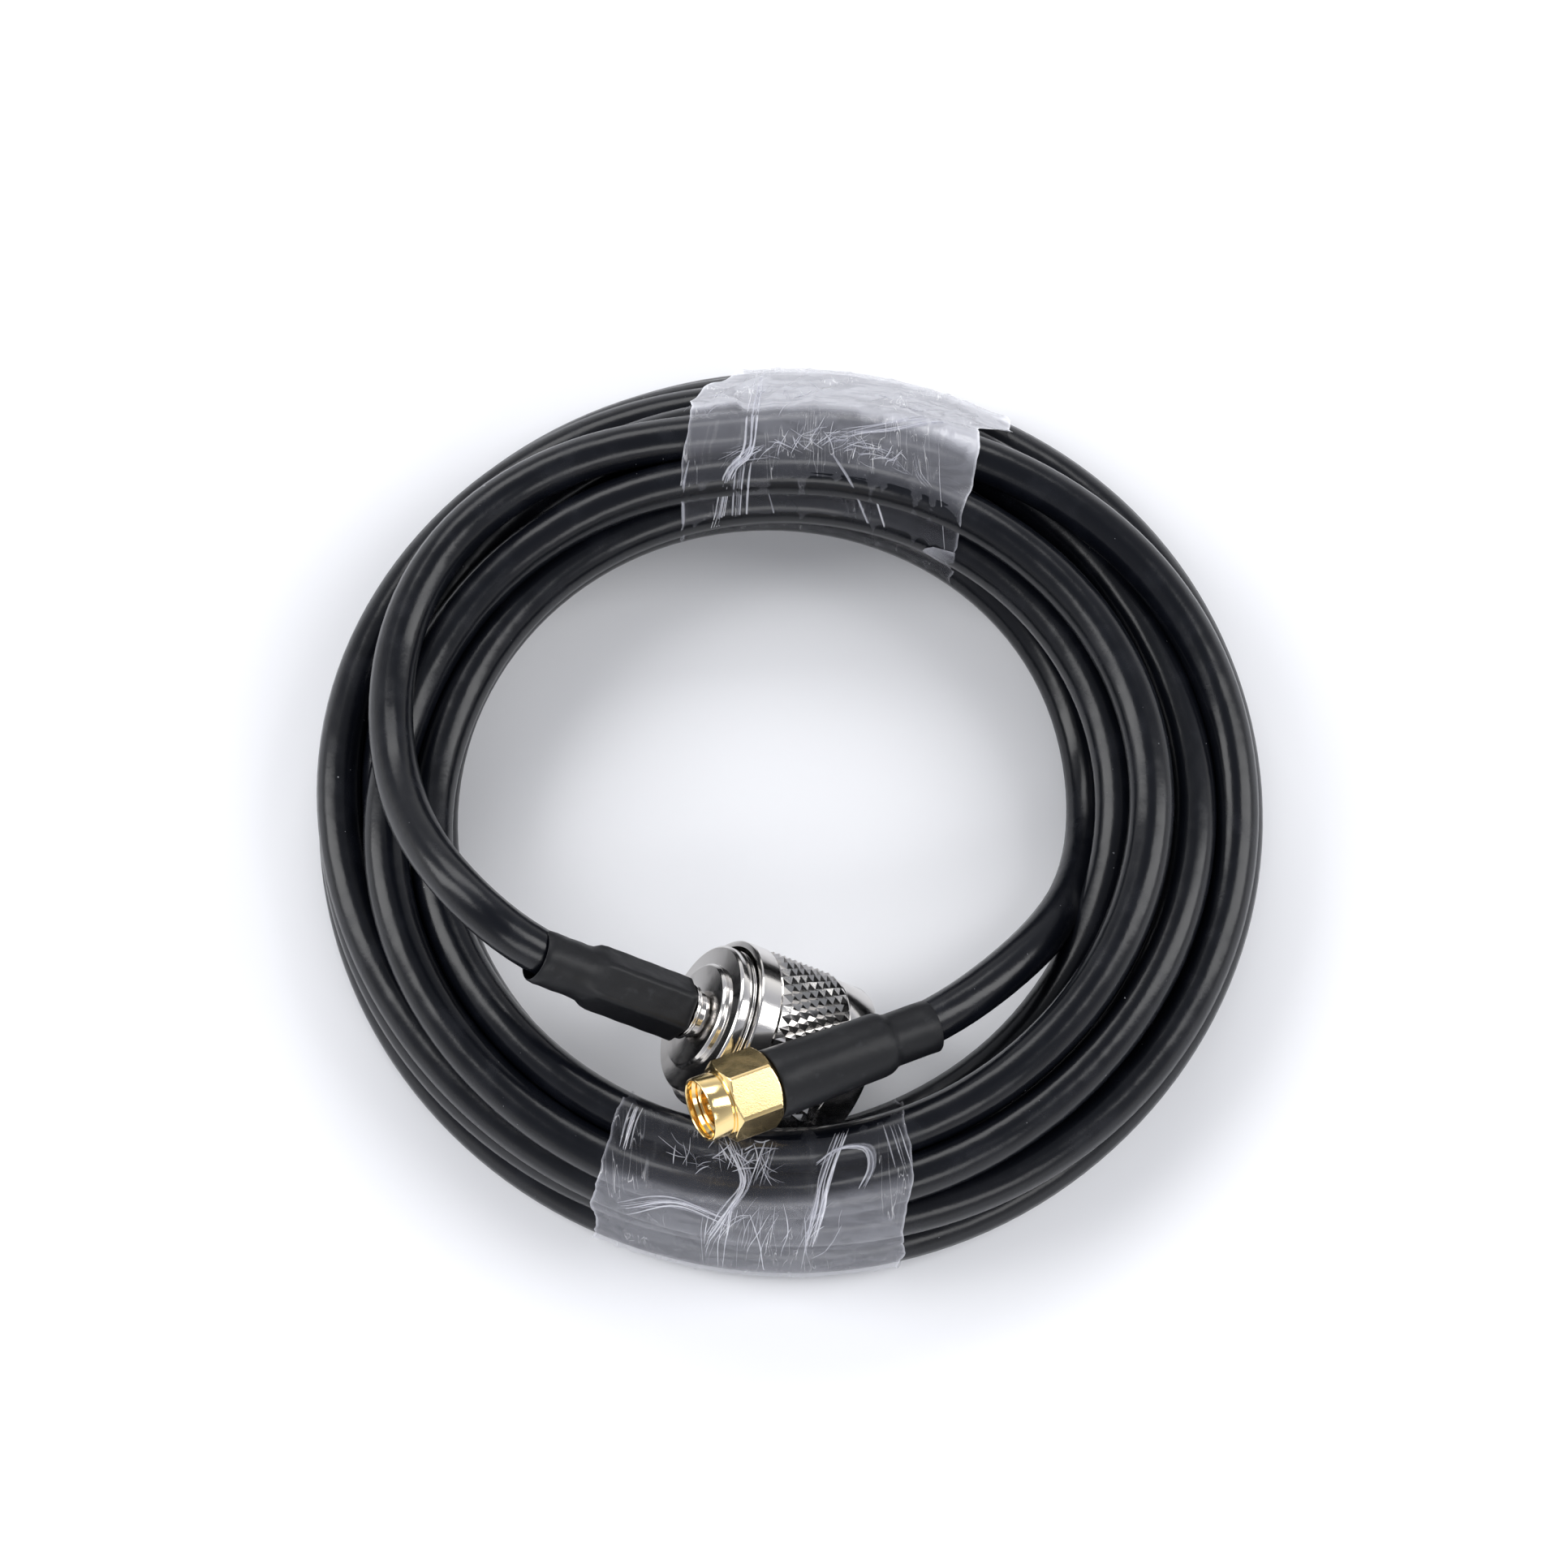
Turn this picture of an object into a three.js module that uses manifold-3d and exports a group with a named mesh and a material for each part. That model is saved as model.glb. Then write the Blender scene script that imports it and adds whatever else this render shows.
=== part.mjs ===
// A coaxial extension lead wound into a flat round coil and held by two wraps of clear film.
// One end has an N plug with a knurled nut, the other an SMA plug with a hexagon nut.
// Millimetres, +Z up. The origin is on the floor, at the middle of the coil's outer rim.

import * as THREE from 'three';
import { mergeVertices } from 'three/addons/utils/BufferGeometryUtils.js';
import Module from 'manifold-3d';

const wasm = await Module();
wasm.setup();

const radians = THREE.MathUtils.degToRad;

// Clearance between pieces that touch on the real lead
const gap = 0.3;
// How far a cutting shape runs past the face that it cuts
const overrun = 1;

// Cable
const cableDiameter = 5.0;
const cableSides = 10;

// Coil: turns piled in staggered layers, with a bore that lies off the middle of the rim
const coilDiameter = 108.7;
const pileWidth = 15.75;
const boreOffset = new THREE.Vector2(-1.0, -3.6);
const coilLayers = 4;
const outerLean = 1.85;
const coilFlat = 0.12;
const grooveFill = 0.7;
const coilSegments = 56;
const arcStep = 38;

// Film wraps
const filmThickness = 0.35;
const farFilmBearings = [62, 105];
const nearFilmBearings = [244, 286];
const filmStep = 6;
const filmArcStep = 32;

// Free stretches of cable: their sections' spacing, and how far the plug's straight line leads out
const tailStep = 6.5;
const tailLead = 1.0;
const tailGrip = [1.5, 4.5];

// N plug: places along its axis count from the nut's rear rim, towards the mating end
const nAcross = -8.08;
const nWallGap = 0.21;
const nPerch = 7.1;
const nHeading = -12.6;
const nSlope = -31.8;
const nNut = {
  flangeGap: 0.5, rearWall: 0.7, frontStep: 0.3, frontWall: 1.25, length: 15.4, rearBand: 3.0, knurl: 8.7,
  pocket: 3.1, web: 1.2, edge: 0.25,
};
const nBody = {
  discDiameter: 12.0, flangeDiameter: 16.6, discBack: 2.7, flangeBack: 1.9, discEdge: 0.3,
  stemDiameter: 3.4, stemLength: 10.2, neckDiameter: 5.2, neckLength: 0.6,
  hubStep: 1.1, seatDepth: 2.35, seatLength: 2.6, sleeveDiameter: 8.2, sleeveBore: 7.0, sleeveEnd: 13.0,
};
const nRing = { threadGap: 0.35, thickness: 1.0 };
const nGasket = { threadGap: 0.65, thickness: 1.0 };
const nPin = { diameter: 1.6, end: 12.4 };
const nInsulatorLength = 2.4;
const nFerrule = { diameter: 5.0, bore: 4.0, lipDiameter: 6.2, lip: 0.5, length: 11.0 };
const nShrink = {
  acrossFlats: 6.5, hexLength: 11.5, diameter: 6.0, length: 18.5, bore: 5.7, cableBore: 5.5, roll: 14,
};

// SMA plug: places along its axis count back from the nut's open mouth
const smaAcross = -9.4;
const smaOverPile = 3.0;
const smaPerch = 9.15;
const smaHeading = -155.4;
const smaSlope = 16.2;
const smaNut = {
  acrossFlats: 8.0, collarDiameter: 7.1, collar: 2.5, length: 8.0, threadBore: 6.4, web: 1.7,
  webBore: 5.1, cornerTrim: 0.35, edge: 0.1, roll: -20,
};
const smaBody = {
  flangeDiameter: 5.8, flange: 1.4, sleeveDiameter: 4.7, sleeveBore: 4.1, sleeveBack: 1.2,
  shoulderDiameter: 5.6, shoulder: 0.9, stemDiameter: 3.4, stemLength: 7.8,
};
const smaPin = { diameter: 1.0, back: 0.9 };
const smaInsulatorLength = 1.5;
const smaFerrule = { diameter: 5.0, bore: 4.0, lipDiameter: 5.6, lip: 0.5, length: 9.5 };
const smaShrink = {
  frontDiameter: 7.6, diameter: 7.0, tailDiameter: 5.8, thickLength: 13.4, step: 0.8, length: 20.0,
  bore: 6.2, cableBore: 5.5, setBack: 0.1,
};

// Free stretch from the top of the coil, at the far film, to the N plug
const nTailPoints = [
  [-12.9, 38.3, 20.8], [-17.5, 37.6, 20.8], [-24.0, 35.9, 20.8], [-31.6, 31.9, 20.8],
  [-38.2, 26.0, 20.8], [-42.5, 18.1, 20.8], [-44.4, 9.4, 20.8], [-44.2, 3.0, 21.1],
  [-43.2, -3.0, 22.6], [-41.3, -8.7, 25.4], [-38.4, -14.0, 28.7], [-35.0, -18.4, 30.8],
  [-31.4, -21.9, 31.0],
];
// Free stretch from the bore's right side, up over the N plug's nut, to the SMA plug
const smaTailPoints = [
  [34.4, 0.0, 3.6], [34.3, -3.4, 4.9], [33.6, -7.5, 7.0], [32.0, -12.7, 10.2],
  [29.3, -17.2, 13.2], [25.2, -22.0, 16.2],
];

const material = (colour, roughness, metalness) =>
  new THREE.MeshStandardMaterial({ color: colour, roughness, metalness });
const jacketBlack = material(0x14151a, 0.38, 0);
const shrinkBlack = material(0x1a1b1e, 0.62, 0);
const nickel = material(0xc9c8c6, 0.22, 1);
const gold = material(0xe3b34c, 0.2, 1);
const ptfeWhite = material(0xf1efe8, 0.5, 0);
const rubberBlack = material(0x101010, 0.8, 0);
const clearFilm = new THREE.MeshStandardMaterial({
  color: 0xd9dbe6, roughness: 0.15, metalness: 0, transparent: true, opacity: 0.35,
});

// Shapes

// A body of revolution about Z. The profile is a list of [radius, height], outer side upwards.
function turned(profile, segments) {
  const points = profile.map(([radius, height]) => new THREE.Vector2(radius, height));
  const hollow = profile.every(([radius]) => radius > 0);
  if (hollow) points.push(points[0].clone());
  return new THREE.LatheGeometry(points, segments).rotateX(Math.PI / 2);
}

// A regular outline with this many corners
function evenOutline(radius, sides) {
  return new THREE.Shape(Array.from({ length: sides }, (_, i) => {
    const angle = i * 2 * Math.PI / sides;
    return new THREE.Vector2(radius * Math.cos(angle), radius * Math.sin(angle));
  }));
}

// A hexagonal bar along Z with a flat facing +Y
function hexBar(acrossFlats, from, to) {
  const corner = acrossFlats / 2 / Math.cos(Math.PI / 6);
  return new THREE.ExtrudeGeometry(evenOutline(corner, 6), { depth: to - from, bevelEnabled: false })
    .translate(0, 0, from);
}

function solidOf(geometry) {
  const plain = geometry.clone();
  plain.deleteAttribute('normal');
  plain.deleteAttribute('uv');
  const merged = mergeVertices(plain, 1e-4);
  return new wasm.Manifold(new wasm.Mesh({
    numProp: 3,
    vertProperties: merged.attributes.position.array,
    triVerts: Uint32Array.from(merged.index.array),
  }));
}

function geometryOf(solid) {
  const mesh = solid.getMesh();
  const geometry = new THREE.BufferGeometry();
  geometry.setAttribute('position', new THREE.BufferAttribute(mesh.vertProperties, 3));
  geometry.setIndex(new THREE.BufferAttribute(mesh.triVerts, 1));
  geometry.computeVertexNormals();
  return geometry;
}

function named(name, geometry, look) {
  const mesh = new THREE.Mesh(geometry, look);
  mesh.name = name;
  return mesh;
}

// Coil

const cableRadius = cableDiameter / 2;
const coilRadius = coilDiameter / 2;
const boreRadius = coilRadius - pileWidth;
const layerRise = cableDiameter * Math.sin(Math.PI / 3);
const filmLift = filmThickness + gap;

// The turns round the outside of the pile's section, as [radius, height], anticlockwise
function rimTurns() {
  const heights = Array.from({ length: coilLayers }, (_, layer) => cableRadius + layer * layerRise);
  const outer = heights.map((height, layer) => [coilRadius - cableRadius - layer * outerLean, height]);
  const inner = heights.map((height) => [boreRadius + cableRadius, height]).reverse();
  const between = (from, to) => {
    const count = Math.round(Math.abs(to[0] - from[0]) / cableDiameter) - 1;
    return Array.from({ length: Math.max(count, 0) }, (_, i) => {
      const share = (i + 1) / (count + 1);
      return [from[0] + (to[0] - from[0]) * share, from[1]];
    });
  };
  return [...outer, ...between(outer.at(-1), inner[0]), ...inner, ...between(inner.at(-1), outer[0])];
}

// The middle of the groove between two neighbouring turns, and its direction seen from each
function groove(here, next) {
  const dx = next[0] - here[0];
  const dz = next[1] - here[1];
  const distance = Math.hypot(dx, dz);
  const depth = Math.sqrt(Math.max(cableRadius ** 2 - (distance / 2) ** 2, 0));
  const stand = Math.max(depth, grooveFill);
  return [(here[0] + next[0]) / 2 + dz / distance * stand, (here[1] + next[1]) / 2 - dx / distance * stand];
}

// Directions from a turn's middle to the points of its arc. A turn on the floor is pressed flat there.
function arcAngles(start, sweep, onFloor) {
  const steps = Math.max(Math.round(sweep / radians(arcStep)), 2);
  const angles = Array.from({ length: steps - 1 }, (_, i) => start + sweep * (i + 1) / steps);
  if (!onFloor) return angles;
  const half = Math.acos(1 - coilFlat / cableRadius);
  let down = -Math.PI / 2;
  while (down < start) down += 2 * Math.PI;
  const round = angles.filter((angle) => Math.abs(angle - down) > 1.5 * half);
  return [...round, down - half, down + half].sort((a, b) => a - b);
}

// The pile's scalloped section: an arc for each turn, met by the next in a groove
function coilSection() {
  const turns = rimTurns();
  const points = [];
  turns.forEach((turn, i) => {
    const before = groove(turns.at(i - 1), turn);
    const after = groove(turn, turns[(i + 1) % turns.length]);
    const start = Math.atan2(before[1] - turn[1], before[0] - turn[0]);
    let sweep = Math.atan2(after[1] - turn[1], after[0] - turn[0]) - start;
    while (sweep <= 0) sweep += 2 * Math.PI;
    points.push(before);
    for (const angle of arcAngles(start, sweep, turn[1] === cableRadius)) {
      points.push([turn[0] + cableRadius * Math.cos(angle), turn[1] + cableRadius * Math.sin(angle)]);
    }
  });
  return points.map(([radius, height]) => [radius, height < 1.01 * coilFlat ? 0 : height]);
}

// The bore lies off the middle of the rim, so the pile is wide on one side and slim on the other
function shiftBore(geometry) {
  const position = geometry.attributes.position;
  for (let i = 0; i < position.count; i++) {
    const x = position.getX(i);
    const y = position.getY(i);
    const share = (coilRadius - Math.hypot(x, y)) / pileWidth;
    position.setX(i, x + boreOffset.x * share);
    position.setY(i, y + boreOffset.y * share);
  }
  return geometry;
}

// The lowest turns ride up where a film wrap passes under them
function liftOverFilm(geometry) {
  const position = geometry.attributes.position;
  const reach = 1.2 * 360 / coilSegments;
  for (let i = 0; i < position.count; i++) {
    const bearing = (Math.atan2(position.getY(i), position.getX(i)) * 180 / Math.PI + 360) % 360;
    const covered = [farFilmBearings, nearFilmBearings]
      .some(([from, to]) => bearing > from - reach && bearing < to + reach);
    const height = position.getZ(i);
    if (covered && height < cableRadius) {
      position.setZ(i, height + filmLift * (1 - height / cableRadius));
    }
  }
  return geometry;
}

function coil() {
  const ring = liftOverFilm(turned(coilSection(), coilSegments));
  return named('coil', shiftBore(ring), jacketBlack);
}

// Film wraps

// A taut line round the pile's section, this far outside its turns, as [radius, height]
function tautSection(stand) {
  const lowest = cableRadius + filmLift;
  const turns = rimTurns().map(([radius, height]) => [radius, Math.max(height, lowest)]);
  const corners = turns.filter((turn, i) => {
    const before = turns.at(i - 1);
    const after = turns[(i + 1) % turns.length];
    const turnLeft = (turn[0] - before[0]) * (after[1] - turn[1]) - (turn[1] - before[1]) * (after[0] - turn[0]);
    return turnLeft > 1e-6;
  });
  const normalOf = (from, to) => Math.atan2(-(to[0] - from[0]), to[1] - from[1]);
  const points = [];
  corners.forEach((corner, i) => {
    const start = normalOf(corners.at(i - 1), corner);
    let sweep = normalOf(corner, corners[(i + 1) % corners.length]) - start;
    while (sweep < 0) sweep += 2 * Math.PI;
    const steps = Math.max(Math.ceil(sweep / radians(filmArcStep)), 1);
    for (let j = 0; j <= steps; j++) {
      const angle = start + sweep * j / steps;
      points.push([
        corner[0] + (cableRadius + stand) * Math.cos(angle),
        corner[1] + (cableRadius + stand) * Math.sin(angle),
      ]);
    }
  });
  return points;
}

class FloorArc extends THREE.Curve {
  constructor(radius, from, to) {
    super();
    Object.assign(this, { radius, from, to });
  }

  getPoint(share, target = new THREE.Vector3()) {
    const angle = this.from + (this.to - this.from) * share;
    return target.set(this.radius * Math.cos(angle), this.radius * Math.sin(angle), 0);
  }
}

// A sleeve of film round the pile, between two bearings in degrees
function filmWrap(name, [from, to]) {
  const middle = (coilRadius + boreRadius) / 2;
  // An extruded outline's x runs down and its y runs inwards along this arc, so its order is turned round
  const placed = (section) => section
    .map(([radius, height]) => new THREE.Vector2(-height, middle - radius)).reverse();
  const outline = new THREE.Shape(placed(tautSection(gap + filmThickness)));
  outline.holes.push(new THREE.Path(placed(tautSection(gap))));
  const sleeve = new THREE.ExtrudeGeometry(outline, {
    steps: Math.round((to - from) / filmStep),
    bevelEnabled: false,
    extrudePath: new FloorArc(middle, radians(from), radians(to)),
  });
  return named(name, shiftBore(sleeve), clearFilm);
}

// Free stretches of cable

function cableTail(name, points) {
  const route = new THREE.CatmullRomCurve3(points);
  return named(name, new THREE.ExtrudeGeometry(evenOutline(cableRadius, cableSides), {
    steps: Math.round(route.getLength() / tailStep), bevelEnabled: false, extrudePath: route,
  }), jacketBlack);
}

// Plug frames: +Z runs out of the mating end, +Y is the side that faces up

function plugFrame(place, heading, slope) {
  const frame = new THREE.Group();
  const axis = new THREE.Vector3(
    Math.cos(radians(slope)) * Math.cos(radians(heading)),
    Math.cos(radians(slope)) * Math.sin(radians(heading)),
    Math.sin(radians(slope)),
  );
  const across = new THREE.Vector3(0, 0, 1).cross(axis).normalize();
  const up = axis.clone().cross(across);
  frame.quaternion.setFromRotationMatrix(new THREE.Matrix4().makeBasis(across, up, axis));
  frame.position.copy(place);
  frame.updateMatrix();
  return frame;
}

// Points on a plug's axis, at these places along it
function onAxis(frame, places) {
  return places.map((along) => new THREE.Vector3(0, 0, along).applyMatrix4(frame.matrix));
}

// N plug: its nut lies on the floor in the bore, against the near side of the pile

const nRearBore = nBody.flangeDiameter / 2 + nNut.flangeGap;
const nNutRadius = nRearBore + nNut.rearWall;
const nFrontRadius = nNutRadius - nNut.frontStep;
const nThread = nFrontRadius - nNut.frontWall;
const nSeat = nThread - nBody.seatDepth;
const nPlace = new THREE.Vector3(nAcross, nNutRadius + nWallGap - boreRadius, nNutRadius + nPerch);
const nDiscBack = -nBody.discBack;
const nNeckBack = nDiscBack - nBody.neckLength;
const nFerruleFront = nNeckBack - gap;
const nFerruleBack = nFerruleFront - nFerrule.length;
const nShrinkFront = nFerruleFront - nFerrule.lip - gap;
const nShrinkBack = nShrinkFront - nShrink.length;
const nHubFront = nNut.pocket + nNut.web + gap;
const nSleeveSeat = nHubFront + nBody.seatLength;

function nCouplingNut() {
  const { edge, pocket, web, rearBand, knurl, length } = nNut;
  const outer = nNutRadius;
  const front = nFrontRadius;
  const rear = nRearBore;
  const thread = nThread;
  const webBore = nSeat + nBody.hubStep + gap;
  return named('n_coupling_nut', turned([
    [rear, 0], [outer - edge, 0], [outer, edge], [outer, rearBand + knurl], [front, rearBand + knurl + edge],
    [front, length - edge], [front - edge, length], [thread + edge, length], [thread, length - edge],
    [thread, pocket + web], [webBore, pocket + web], [webBore, pocket], [rear, pocket],
  ], 36), nickel);
}

function nPlugBody() {
  const { discEdge, sleeveEnd } = nBody;
  const disc = nBody.discDiameter / 2;
  const flange = nBody.flangeDiameter / 2;
  const stem = nBody.stemDiameter / 2;
  const neck = nBody.neckDiameter / 2;
  const seat = nSeat;
  const hub = seat + nBody.hubStep;
  const sleeve = nBody.sleeveDiameter / 2;
  const bore = nBody.sleeveBore / 2;
  return named('n_body', turned([
    [0, nNeckBack - nBody.stemLength], [stem, nNeckBack - nBody.stemLength], [stem, nNeckBack],
    [neck, nNeckBack], [neck, nDiscBack], [disc - discEdge, nDiscBack], [disc, nDiscBack + discEdge],
    [disc, -nBody.flangeBack], [flange, -nBody.flangeBack], [flange, nNut.pocket - gap],
    [hub, nNut.pocket - gap], [hub, nHubFront], [seat, nHubFront], [seat, nSleeveSeat],
    [sleeve, nSleeveSeat], [sleeve, sleeveEnd], [bore, sleeveEnd], [bore, nSleeveSeat], [0, nSleeveSeat],
  ], 32), nickel);
}

// A flat ring between two places along the axis
function washer(name, innerRadius, outerRadius, from, to, look) {
  return named(name, turned([
    [innerRadius, from], [outerRadius, from], [outerRadius, to], [innerRadius, to],
  ], 28), look);
}

function nPlugFace() {
  const seat = nSeat;
  const ringFrom = nHubFront + gap;
  const gasketFrom = ringFrom + nRing.thickness + gap;
  const insulatorFrom = nSleeveSeat + gap;
  const pin = nPin.diameter / 2;
  return [
    washer('n_retaining_ring', seat + gap, nThread - nRing.threadGap, ringFrom, ringFrom + nRing.thickness, nickel),
    washer('n_gasket', seat + gap, nThread - nGasket.threadGap, gasketFrom, gasketFrom + nGasket.thickness,
      rubberBlack),
    washer('n_insulator', pin + gap, nBody.sleeveBore / 2 - gap, insulatorFrom,
      insulatorFrom + nInsulatorLength, ptfeWhite),
    named('n_centre_pin', turned([
      [0, insulatorFrom], [pin, insulatorFrom], [pin, nPin.end - pin], [pin / 3, nPin.end], [0, nPin.end],
    ], 12), gold),
  ];
}

// A crimp ferrule: a tube with a lip at its front
function ferrule(name, size, front, look) {
  const outer = size.diameter / 2;
  const lip = size.lipDiameter / 2;
  const bore = size.bore / 2;
  const back = front - size.length;
  return named(name, turned([
    [bore, back], [outer, back], [outer, front - size.lip], [lip, front - size.lip], [lip, front], [bore, front],
  ], 24), look);
}

function nHeatShrink() {
  const round = nShrink.diameter / 2;
  const hexBack = nShrinkFront - nShrink.hexLength;
  const boreStep = nFerruleBack - gap;
  const outside = solidOf(hexBar(nShrink.acrossFlats, hexBack, nShrinkFront)
    .rotateZ(radians(nShrink.roll)))
    .add(solidOf(turned([[0, nShrinkBack], [round, nShrinkBack], [round, hexBack + overrun], [0, hexBack + overrun]], 24)));
  const bore = solidOf(turned([
    [0, nShrinkBack - overrun], [nShrink.cableBore / 2, nShrinkBack - overrun], [nShrink.cableBore / 2, boreStep],
    [nShrink.bore / 2, boreStep], [nShrink.bore / 2, nShrinkFront + overrun], [0, nShrinkFront + overrun],
  ], 24));
  return named('n_heat_shrink', geometryOf(outside.subtract(bore)), shrinkBlack);
}

// SMA plug: it lies on top of the N plug's nut and the near side of the pile

const smaPlace = new THREE.Vector3(smaAcross, -boreRadius - smaOverPile, 2 * nNutRadius + smaPerch);
const smaWebFront = smaNut.web - smaNut.length;
const smaShoulderFront = -smaNut.length - gap;
const smaStemFront = smaShoulderFront - smaBody.shoulder;
const smaFerruleFront = smaStemFront - gap;
const smaFerruleBack = smaFerruleFront - smaFerrule.length;
const smaShrinkFront = smaShoulderFront - smaShrink.setBack;
const smaShrinkBack = smaShrinkFront - smaShrink.length;
const smaSleeveSeat = smaWebFront + gap + smaBody.flange;

function smaCouplingNut() {
  const { edge, length, collar, cornerTrim } = smaNut;
  const flat = smaNut.acrossFlats / 2;
  const corner = flat / Math.cos(Math.PI / 6);
  const collarRadius = smaNut.collarDiameter / 2;
  const thread = smaNut.threadBore / 2;
  const webBore = smaNut.webBore / 2;
  const hexagon = solidOf(hexBar(smaNut.acrossFlats, -length, -collar)).intersect(solidOf(turned([
    [0, -length], [corner - cornerTrim, -length], [corner, -length + cornerTrim],
    [corner, -collar - cornerTrim], [corner - cornerTrim, -collar], [0, -collar],
  ], 36)));
  const front = solidOf(turned([
    [0, -collar - overrun], [collarRadius, -collar - overrun], [collarRadius, -edge],
    [collarRadius - edge, 0], [0, 0],
  ], 36));
  const bore = solidOf(turned([
    [0, -length - overrun], [webBore, -length - overrun], [webBore, smaWebFront], [thread, smaWebFront],
    [thread, overrun], [0, overrun],
  ], 30));
  const nut = geometryOf(hexagon.add(front).subtract(bore)).rotateZ(radians(smaNut.roll));
  return named('sma_coupling_nut', nut, gold);
}

function smaPlugBody() {
  const flange = smaBody.flangeDiameter / 2;
  const hub = smaNut.webBore / 2 - gap;
  const sleeve = smaBody.sleeveDiameter / 2;
  const bore = smaBody.sleeveBore / 2;
  const shoulder = smaBody.shoulderDiameter / 2;
  const stem = smaBody.stemDiameter / 2;
  return named('sma_body', turned([
    [0, smaStemFront - smaBody.stemLength], [stem, smaStemFront - smaBody.stemLength], [stem, smaStemFront],
    [shoulder, smaStemFront], [shoulder, smaShoulderFront], [hub, smaShoulderFront], [hub, smaWebFront + gap],
    [flange, smaWebFront + gap], [flange, smaSleeveSeat], [sleeve, smaSleeveSeat],
    [sleeve, -smaBody.sleeveBack], [bore, -smaBody.sleeveBack], [bore, smaSleeveSeat], [0, smaSleeveSeat],
  ], 24), gold);
}

function smaPlugFace() {
  const pin = smaPin.diameter / 2;
  const from = smaSleeveSeat + gap;
  return [
    washer('sma_insulator', pin + gap, smaBody.sleeveBore / 2 - gap, from, from + smaInsulatorLength, ptfeWhite),
    named('sma_centre_pin', turned([
      [0, from], [pin, from], [pin, -smaPin.back - pin], [pin / 3, -smaPin.back], [0, -smaPin.back],
    ], 12), gold),
  ];
}

function smaHeatShrink() {
  const stepFront = smaShrinkFront - smaShrink.thickLength;
  const boreStep = smaFerruleBack - gap;
  return named('sma_heat_shrink', turned([
    [smaShrink.cableBore / 2, smaShrinkBack], [smaShrink.tailDiameter / 2, smaShrinkBack],
    [smaShrink.tailDiameter / 2, stepFront - smaShrink.step], [smaShrink.diameter / 2, stepFront],
    [smaShrink.frontDiameter / 2, smaShrinkFront], [smaShrink.bore / 2, smaShrinkFront],
    [smaShrink.bore / 2, boreStep], [smaShrink.cableBore / 2, boreStep],
  ], 28), shrinkBlack);
}

// The whole lead

const lead = new THREE.Group();

const nPlug = plugFrame(nPlace, nHeading, nSlope);
nPlug.add(
  nCouplingNut(), nPlugBody(), ...nPlugFace(),
  ferrule('n_crimp_ferrule', nFerrule, nFerruleFront, nickel), nHeatShrink(),
);

const smaPlug = plugFrame(smaPlace, smaHeading, smaSlope);
smaPlug.add(
  smaCouplingNut(), smaPlugBody(), ...smaPlugFace(),
  ferrule('sma_crimp_ferrule', smaFerrule, smaFerruleFront, gold), smaHeatShrink(),
);

// The cable's end lies inside each heat-shrink sleeve, just behind the ferrule
const endPlaces = (sleeveBack, ferruleBack) => [
  sleeveBack - tailLead, ...tailGrip.map((depth) => sleeveBack + depth), ferruleBack - 2 * gap,
];
const nEnd = onAxis(nPlug, endPlaces(nShrinkBack, nFerruleBack));
const smaEnd = onAxis(smaPlug, endPlaces(smaShrinkBack, smaFerruleBack));
const placed = (points) => points.map((point) => new THREE.Vector3(...point));

lead.add(
  coil(),
  filmWrap('far_film_wrap', farFilmBearings),
  filmWrap('near_film_wrap', nearFilmBearings),
  cableTail('n_cable_tail', [...placed(nTailPoints), ...nEnd]),
  cableTail('sma_cable_tail', [...placed(smaTailPoints), ...smaEnd]),
  nPlug,
  smaPlug,
);

export default lead;
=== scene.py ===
"""Dresses the coiled coaxial extension lead: cable, film wraps, N plug and SMA plug."""

import logging
import math
from collections.abc import Sequence
from dataclasses import dataclass, field
from enum import Enum

import bmesh
import bpy
import numpy as np
from mathutils import Matrix, Vector

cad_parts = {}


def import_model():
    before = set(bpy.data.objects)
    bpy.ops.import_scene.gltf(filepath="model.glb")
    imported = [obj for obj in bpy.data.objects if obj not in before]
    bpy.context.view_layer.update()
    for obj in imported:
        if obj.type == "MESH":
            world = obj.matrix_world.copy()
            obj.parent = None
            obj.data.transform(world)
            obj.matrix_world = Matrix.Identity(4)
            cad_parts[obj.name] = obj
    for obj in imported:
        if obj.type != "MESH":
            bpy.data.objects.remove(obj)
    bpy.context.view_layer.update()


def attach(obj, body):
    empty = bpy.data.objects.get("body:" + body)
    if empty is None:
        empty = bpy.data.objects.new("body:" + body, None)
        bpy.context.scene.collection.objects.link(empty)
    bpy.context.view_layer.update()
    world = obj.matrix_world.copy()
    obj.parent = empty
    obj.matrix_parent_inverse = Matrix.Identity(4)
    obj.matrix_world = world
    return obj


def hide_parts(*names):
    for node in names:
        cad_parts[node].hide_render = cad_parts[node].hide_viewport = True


log = logging.getLogger("lead")

MM = 0.001
ROOT = "cable"
N_NUT = "n_nut"
SMA_NUT = "sma_nut"


class Slot(Enum):
    """The record's material slot names; each new piece is passed one, but nothing reads it."""

    JACKET = "cable_jacket"
    SHRINK = "heat_shrink"
    NICKEL = "nickel"
    GOLD = "gold"
    PTFE = "ptfe"
    RUBBER = "gasket_rubber"
    FILM = "film"


# Shader building


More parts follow.
